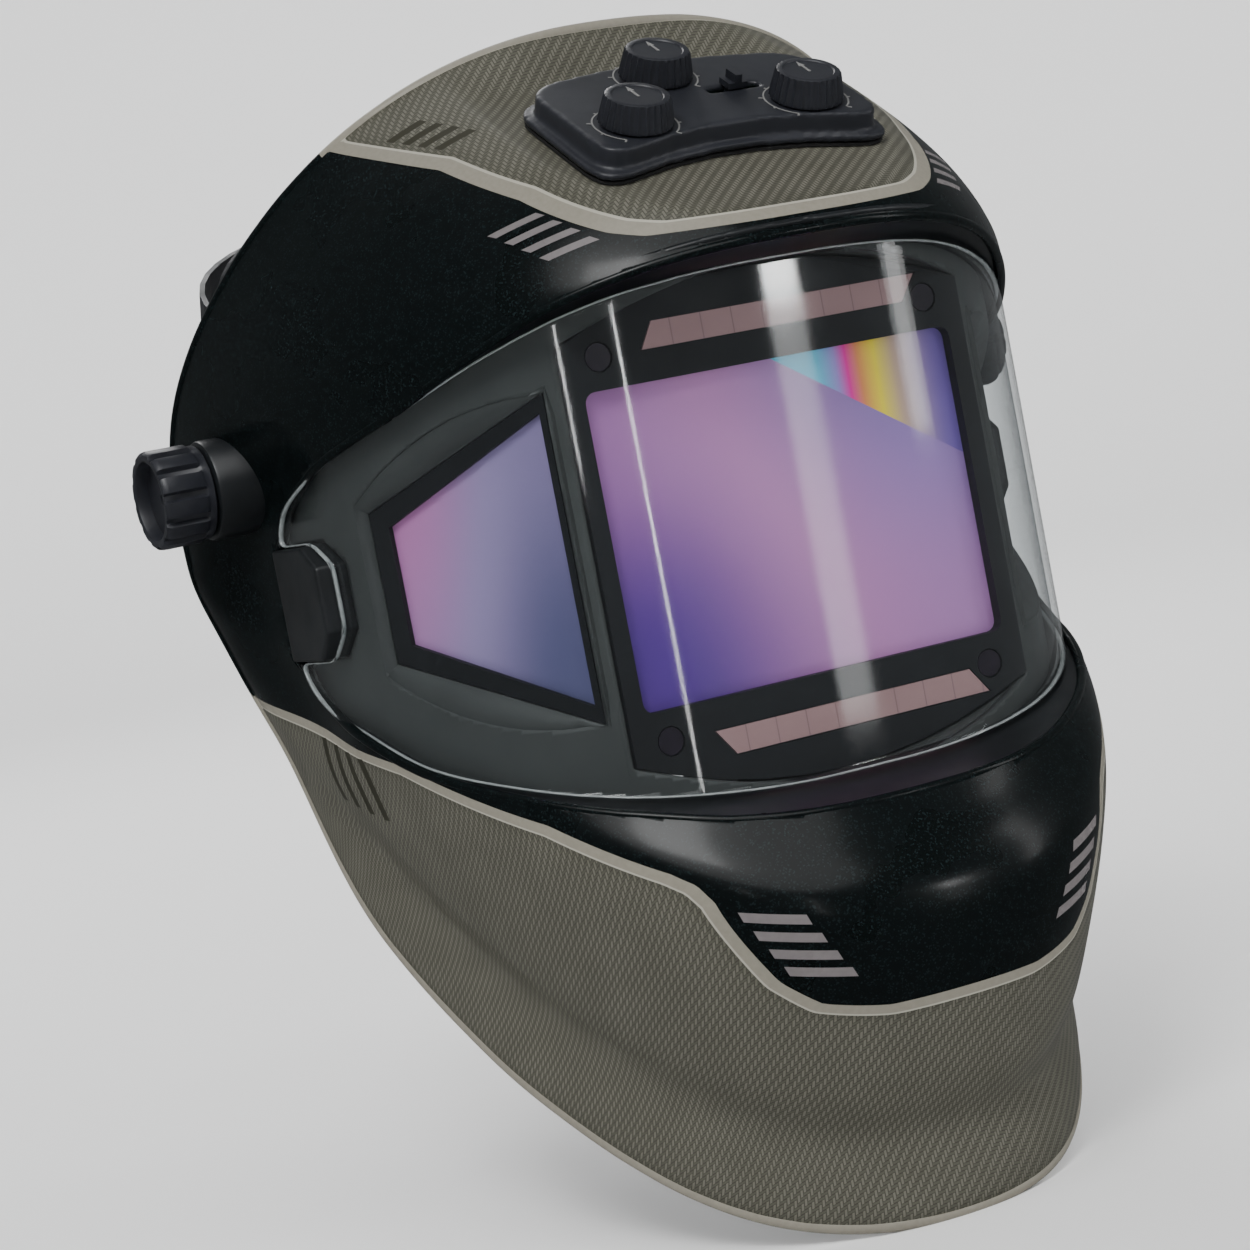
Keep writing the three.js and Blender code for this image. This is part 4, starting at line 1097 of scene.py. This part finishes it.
def make_dials(material, mark_material):
    low = POD_TOP + KNOB_GAP
    profile = [
        (2.9, -1.4, 0), (2.9, 0.0, 0), (9.6, 0.0, 0.3), (10.0, 0.35, 1), (9.8, 1.4, 1), (8.85, 6.6, 1),
        (8.72, 7.1, 0.9), (8.45, 7.45, 0.3), (8.1, 7.6, 0), (6.9, 7.6, 0), (6.6, 7.3, 0), (0.4, 7.25, 0)]
    for name, (u, v) in DIALS.items():
        def place(a, b, h, u=u, v=v):
            return pod_point(u + a, v + b, low + h)

        steps = RIBS * 6
        points, faces = turned(profile, steps, rib_dip, place)
        faces.insert(-1, tuple(range(steps))[::-1])
        body = NODES[name]["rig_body"]
        piece = link(f"{name}_turned", mesh_of(name, points, faces), material, body, name,
                     slot="pod_plastic")
        smooth_by_angle(piece, 38)
        outline = [(0, 6.3), (-0.9, 3.2), (-0.35, 3.2), (-0.35, -0.8), (0.35, -0.8), (0.35, 3.2), (0.9, 3.2)]
        top = [place(a, b, 7.42) for a, b in outline]
        foot = [place(a, b, 7.15) for a, b in outline]
        count = len(outline)
        faces = [tuple(range(count)), tuple(range(count, 2 * count))[::-1]]
        faces += [(i, count + i, count + (i + 1) % count, (i + 1) % count) for i in range(count)]
        link(f"{name}_pointer", mesh_of(name, top + foot, faces, smooth=False), mark_material, body,
             slot="pod_plastic")
        make_scale(name, u, v, mark_material)


def make_scale(name, u, v, material):
    """A printed arc with ticks round a dial, standing a hair above the pod."""
    points, faces = [], []

    def patch(a0, a1, r0, r1, steps):
        base = len(points)
        for i in range(steps + 1):
            angle = a0 + (a1 - a0) * i / steps
            for r in (r0, r1):
                for h in (0.02, 0.12):
                    points.append(pod_point(u + r * math.sin(angle), v + r * math.cos(angle), POD_TOP + h))
        for i in range(steps):
            a, b = base + 4 * i, base + 4 * i + 4
            faces.extend([(a + 1, a + 3, b + 3, b + 1), (a, b, b + 2, a + 2), (a, a + 1, b + 1, b),
                          (a + 2, b + 2, b + 3, a + 3)])
        end = base + 4 * steps
        faces.extend([(base, base + 2, base + 3, base + 1), (end, end + 1, end + 3, end + 2)])

    patch(-DIAL_TURN, DIAL_TURN, 11.0, 11.45, 48)
    ticks, half = 8, 0.022
    for i in range(ticks + 1):
        angle = -DIAL_TURN + 2 * DIAL_TURN * i / ticks
        patch(angle - half, angle + half, 11.5, 12.7 if i % 2 == 0 else 12.1, 1)
    link(f"{name}_scale", mesh_of(f"{name}_scale", points, faces, smooth=False), material, "shell",
         slot="pod_plastic")


def make_tension_knobs(material):
    """Scalloped knobs with a plain collar and a deep recessed end."""
    profile = [
        (4.6, 121.6, 0), (12.6, 121.6, 0), (13.0, 122.0, 0), (13.0, 123.6, 0), (13.2, 124.0, 0.2),
        (13.75, 124.8, 1), (13.8, 134.6, 1), (13.55, 135.7, 0.8), (12.9, 136.4, 0.3), (11.6, 136.5, 0),
        (11.0, 136.2, 0), (10.7, 135.4, 0), (10.6, 132.6, 0), (1.6, 132.5, 0), (1.5, 131.2, 0)]
    for side, sign in (("right", -1), ("left", 1)):
        def place(a, b, h, sign=sign):
            return np.array([sign * h, sign * a, b])

        node = f"tension_knob_{side}"
        mesh = facing_out(mesh_of(node, *turned(profile, FLUTES * 10, flute_dip, place)))
        piece = link(f"{node}_moulded", mesh, material, NODES[node]["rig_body"], node, slot="pod_plastic")
        smooth_by_angle(piece, 40)


def make_bosses(material):
    profile = [(4.5, 102.3), (13.4, 102.3), (13.9, 102.9), (13.9, 119.8), (13.6, 120.6), (12.9, 121.0),
               (5.2, 121.0), (4.5, 120.4)]
    steps = 64
    for side, sign in (("right", -1), ("left", 1)):
        points = [
            (sign * x, r * math.cos(2 * math.pi * i / steps), r * math.sin(2 * math.pi * i / steps))
            for r, x in profile for i in range(steps)]
        faces = ring_quads(steps, len(profile), closed=True)
        mesh = facing_out(mesh_of(f"pivot_boss_{side}", points, faces))
        piece = link(f"pivot_boss_{side}", mesh, material, "shell", slot="shell_gloss")
        smooth_by_angle(piece, 35)


# ---- nodes kept from the CAD model


CREASE = math.radians(28)


def painted(node, material):
    piece = NODES[node]
    piece.data.materials.clear()
    piece.data.materials.append(material)
    return piece


def finished(node, material, width):
    """Gives a CAD node its material and rounds its edges over, or keeps them crisp at width 0."""
    piece = painted(node, material)
    if width:
        modifier(piece, "DECIMATE", decimate_type="DISSOLVE", angle_limit=math.radians(1.0))
        modifier(piece, "BEVEL", width=width * MM, segments=2, limit_method="ANGLE",
                 angle_limit=CREASE, use_clamp_overlap=True)
        modifier(piece, "WEIGHTED_NORMAL", keep_sharp=True)
    else:
        modifier(piece, "EDGE_SPLIT", split_angle=CREASE)


def rounded(node, material, voxel, passes):
    """Gives a CAD node its material and melts its edges, as on a glossy moulding."""
    piece = painted(node, material)
    modifier(piece, "REMESH", mode="VOXEL", voxel_size=voxel * MM, use_smooth_shade=True)
    modifier(piece, "SMOOTH", factor=0.5, iterations=passes)


def both(*names):
    return [f"{name}_{side}" for name in names for side in ("right", "left")]


def foam_material():
    """Black sweat cloth: a fine knit over soft foam, faded where it rubs."""
    n = Nodes("sweat_cloth")
    at = n.vector("MULTIPLY", n.place(), (1.0, 1.0, 1.3))
    knit = n.cells(1100.0, at)
    fade = n.between(n.noise(26.0, 4.0), 0.35, 0.75)
    colour = n.mix(fade, (0.011, 0.011, 0.012), (0.024, 0.024, 0.025))
    colour = n.mix(n.between(knit["Distance"], 0.2, 0.7), colour, (0.005, 0.005, 0.005))
    n.set(Sheen_Weight=0.35, Sheen_Roughness=0.4)
    return n.set(Base_Color=colour, Roughness=0.92, Normal=n.bump(knit["Distance"], 0.5, 0.0006))


def steel_material():
    n = Nodes("bright_steel")
    lathe_marks = n.noise(900.0, 2.0)
    n.set(Metallic=1.0)
    return n.set(Base_Color=n.mix(n.noise(40.0), (0.5, 0.5, 0.51), (0.66, 0.66, 0.67)),
                 Roughness=n.between(lathe_marks, 0.3, 0.7, 0.24, 0.36),
                 Normal=n.bump(lathe_marks, 0.05, 0.0002))


def board_material():
    n = Nodes("circuit_board")
    x, y, z = n.split(n.place())
    grid = n.math("MULTIPLY", n.math("FRACT", n.math("MULTIPLY", x, 320.0)),
                  n.math("FRACT", n.math("MULTIPLY", n.math("ADD", z, y), 320.0)))
    track = n.math("GREATER_THAN", grid, 0.5)
    return n.set(Base_Color=n.mix(track, (0.008, 0.07, 0.025), (0.02, 0.12, 0.045)), Roughness=0.4)


def sensor_material():
    n = Nodes("sensor_window")
    n.set(Coat_Weight=0.1, Coat_Roughness=0.1, Specular_IOR_Level=0.2)
    tint = n.mix(n.noise(300.0), (0.006, 0.004, 0.008), (0.02, 0.012, 0.025))
    return n.set(Base_Color=tint, Roughness=0.45)


def evaluated(piece):
    graph = bpy.context.evaluated_depsgraph_get()
    return bpy.data.meshes.new_from_object(piece.evaluated_get(graph), depsgraph=graph)


HEAD_CENTRE = np.array([0.0, 0.038, 0.0])


def make_cushion(node, material, swell):
    """A foam pad blown up a little by a cloth simulation, held where it is stuck to its carrier."""
    source = NODES[node]
    piece = link(f"{node}_foam", source.data.copy(), material, source["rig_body"], node, slot="pad_foam")
    modifier(piece, "REMESH", mode="VOXEL", voxel_size=0.0034, use_smooth_shade=True)
    baked = evaluated(piece)
    piece.modifiers.clear()
    piece.data = baked
    rest = np.array([v.co for v in baked.vertices])
    cloth = piece.modifiers.new("cloth", "CLOTH")
    cloth.settings.use_pressure = True
    cloth.settings.uniform_pressure_force = 4.0
    cloth.settings.effector_weights.gravity = 0.0
    cloth.settings.tension_stiffness = 25
    cloth.settings.bending_stiffness = 0.4
    scene = bpy.context.scene
    for step in range(1, 21):
        scene.frame_set(step)
    after = np.array([v.co for v in evaluated(piece).vertices])
    piece.modifiers.clear()
    scene.frame_set(1)
    move = after - rest
    inward = HEAD_CENTRE - rest
    inward[:, 2] = 0
    inward /= np.linalg.norm(inward, axis=1)[:, None] + 1e-9
    free = np.clip(np.sum(move * inward, axis=1) / 0.001 + 0.3, 0.0, 1.0)
    size = np.linalg.norm(move, axis=1)
    move *= (np.minimum(size, swell * MM) / np.maximum(size, 1e-9) * free)[:, None]
    baked.vertices.foreach_set("co", (rest + move).ravel())
    baked.materials.clear()
    baked.materials.append(material)
    for polygon in baked.polygons:
        polygon.use_smooth = True
    modifier(piece, "SMOOTH", factor=0.5, iterations=2)
    modifier(piece, "SUBSURF", levels=1, render_levels=1)


def make_strap(node, material):
    """A toothed strap end, copied in place from its CAD node; the copy is not attached to the rear cradle's
    body.
    """
    mesh = NODES[node].data.copy()
    mesh.materials.clear()
    mesh.materials.append(material)
    piece = in_scene(f"{node}_moulded", mesh)
    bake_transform(piece)
    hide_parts(node)


FINISHES = [
    ("pod_plastic", 0.2, ["mode_switch"]),
    ("rubber", 0.3, ["pod_gasket", *both("friction_washer")]),
    ("bezel", 0.8, ["main_filter_housing", *both("side_filter_housing")]),
    ("satin", 0.5, ["filter_rear_cover", "battery_tray"]),
    ("satin", 0.8, ["ratchet_cover", "ratchet_housing"]),
    ("rubber", 0.6, ["ratchet_knob"]),
    ("satin", 0.3, ["ratchet_pinion", *both("slider", "tilt_stop")]),
    ("strap", 0.5, ["headband", "rear_hoop", "crown_pin", *both("crown_strap", "side_arm")]),
    ("steel", 0.2, [*both("pivot_stud", "coin_cell"), *both("pod_screw")]),
    ("board", 0.0, ["pod_circuit_board", "filter_circuit_board"]),
    ("sensor", 0.0, [f"arc_sensor_{i}" for i in (1, 2, 3, 4)]),
    ("solar", 0.0, ["solar_cell_top", "solar_cell_bottom"]),
    ("clear", 0.0, ["inner_cover_lens"]),
    ("main_filter", 0.0, ["main_filter_glass"]),
    ("side_filter_right", 0.0, ["side_filter_glass_right"]),
    ("side_filter_left", 0.0, ["side_filter_glass_left"]),
]


# ---- assembly

make_camera()
hood_finish = hood_material()
satin = moulded("satin_plastic", (0.019, 0.021, 0.024), 0.46, grain=0.1)
grey_frame = moulded("frame_plastic", (0.044, 0.048, 0.047), 0.45, grain=0.03, light=1.3)
bezel = moulded("bezel_plastic", (0.0085, 0.0095, 0.0115), 0.55, grain=0.04, light=1.3)
lip_black = moulded("lip_black", (0.006, 0.007, 0.008), 0.35, grain=0.05)
pod_plastic = moulded("pod_plastic", (0.0135, 0.0145, 0.0185), 0.4, grain=0.1, light=1.3)
strap_plastic = moulded("strap_plastic", (0.014, 0.015, 0.017), 0.5, grain=0.2, light=1.6)
latch_plastic = moulded("latch_plastic", (0.0075, 0.0085, 0.0095), 0.42, grain=0.1)
rubber = moulded("rubber", (0.008, 0.008, 0.008), 0.8, grain=0.3)
white_print = plain("white_print", (0.16, 0.16, 0.155), 0.5)
foam = foam_material()
clear = clear_material()
palette = {
    "pod_plastic": pod_plastic, "rubber": rubber, "bezel": bezel, "satin": satin, "strap": strap_plastic,
    "steel": steel_material(), "board": board_material(), "sensor": sensor_material(),
    "solar": solar_material(), "clear": clear,
    "main_filter": filter_material(
        "main_filter_coating", (0.1, 0.04, 0.27), (0.54, 0.23, 0.5), (0.32, 0.21, 0.52),
        (-0.055, -0.0765), (0.055, 0.0065), rainbow=True),
}
for name, side, sign in (("side_filter_coating", "right", -1), ("side_filter_coating_left", "left", 1)):
    palette[f"side_filter_{side}"] = filter_material(
        name, (0.1, 0.1, 0.21), (0.32, 0.25, 0.46), (0.54, 0.2, 0.46),
        (sign * 0.066, -0.076), (sign * 0.092, 0.008))
for finish, width, nodes in FINISHES:
    for node in nodes:
        finished(node, palette[finish], width)

rounded("pod_housing", pod_plastic, 0.6, 14)
for node in both("lens_latch"):
    rounded(node, latch_plastic, 0.35, 36)

loops = make_hood(hood_finish, lip_black)
make_rim(loops[0], hood_finish)
make_window(loops[1], hood_finish, lip_black, grey_frame, clear)
make_bosses(lip_black)
make_dials(pod_plastic, white_print)
make_tension_knobs(pod_plastic)
for node in ("sweatband", "rear_pad"):
    make_cushion(node, foam, 5.0)
for node in both("toothed_strap"):
    make_strap(node, strap_plastic)
make_stage()
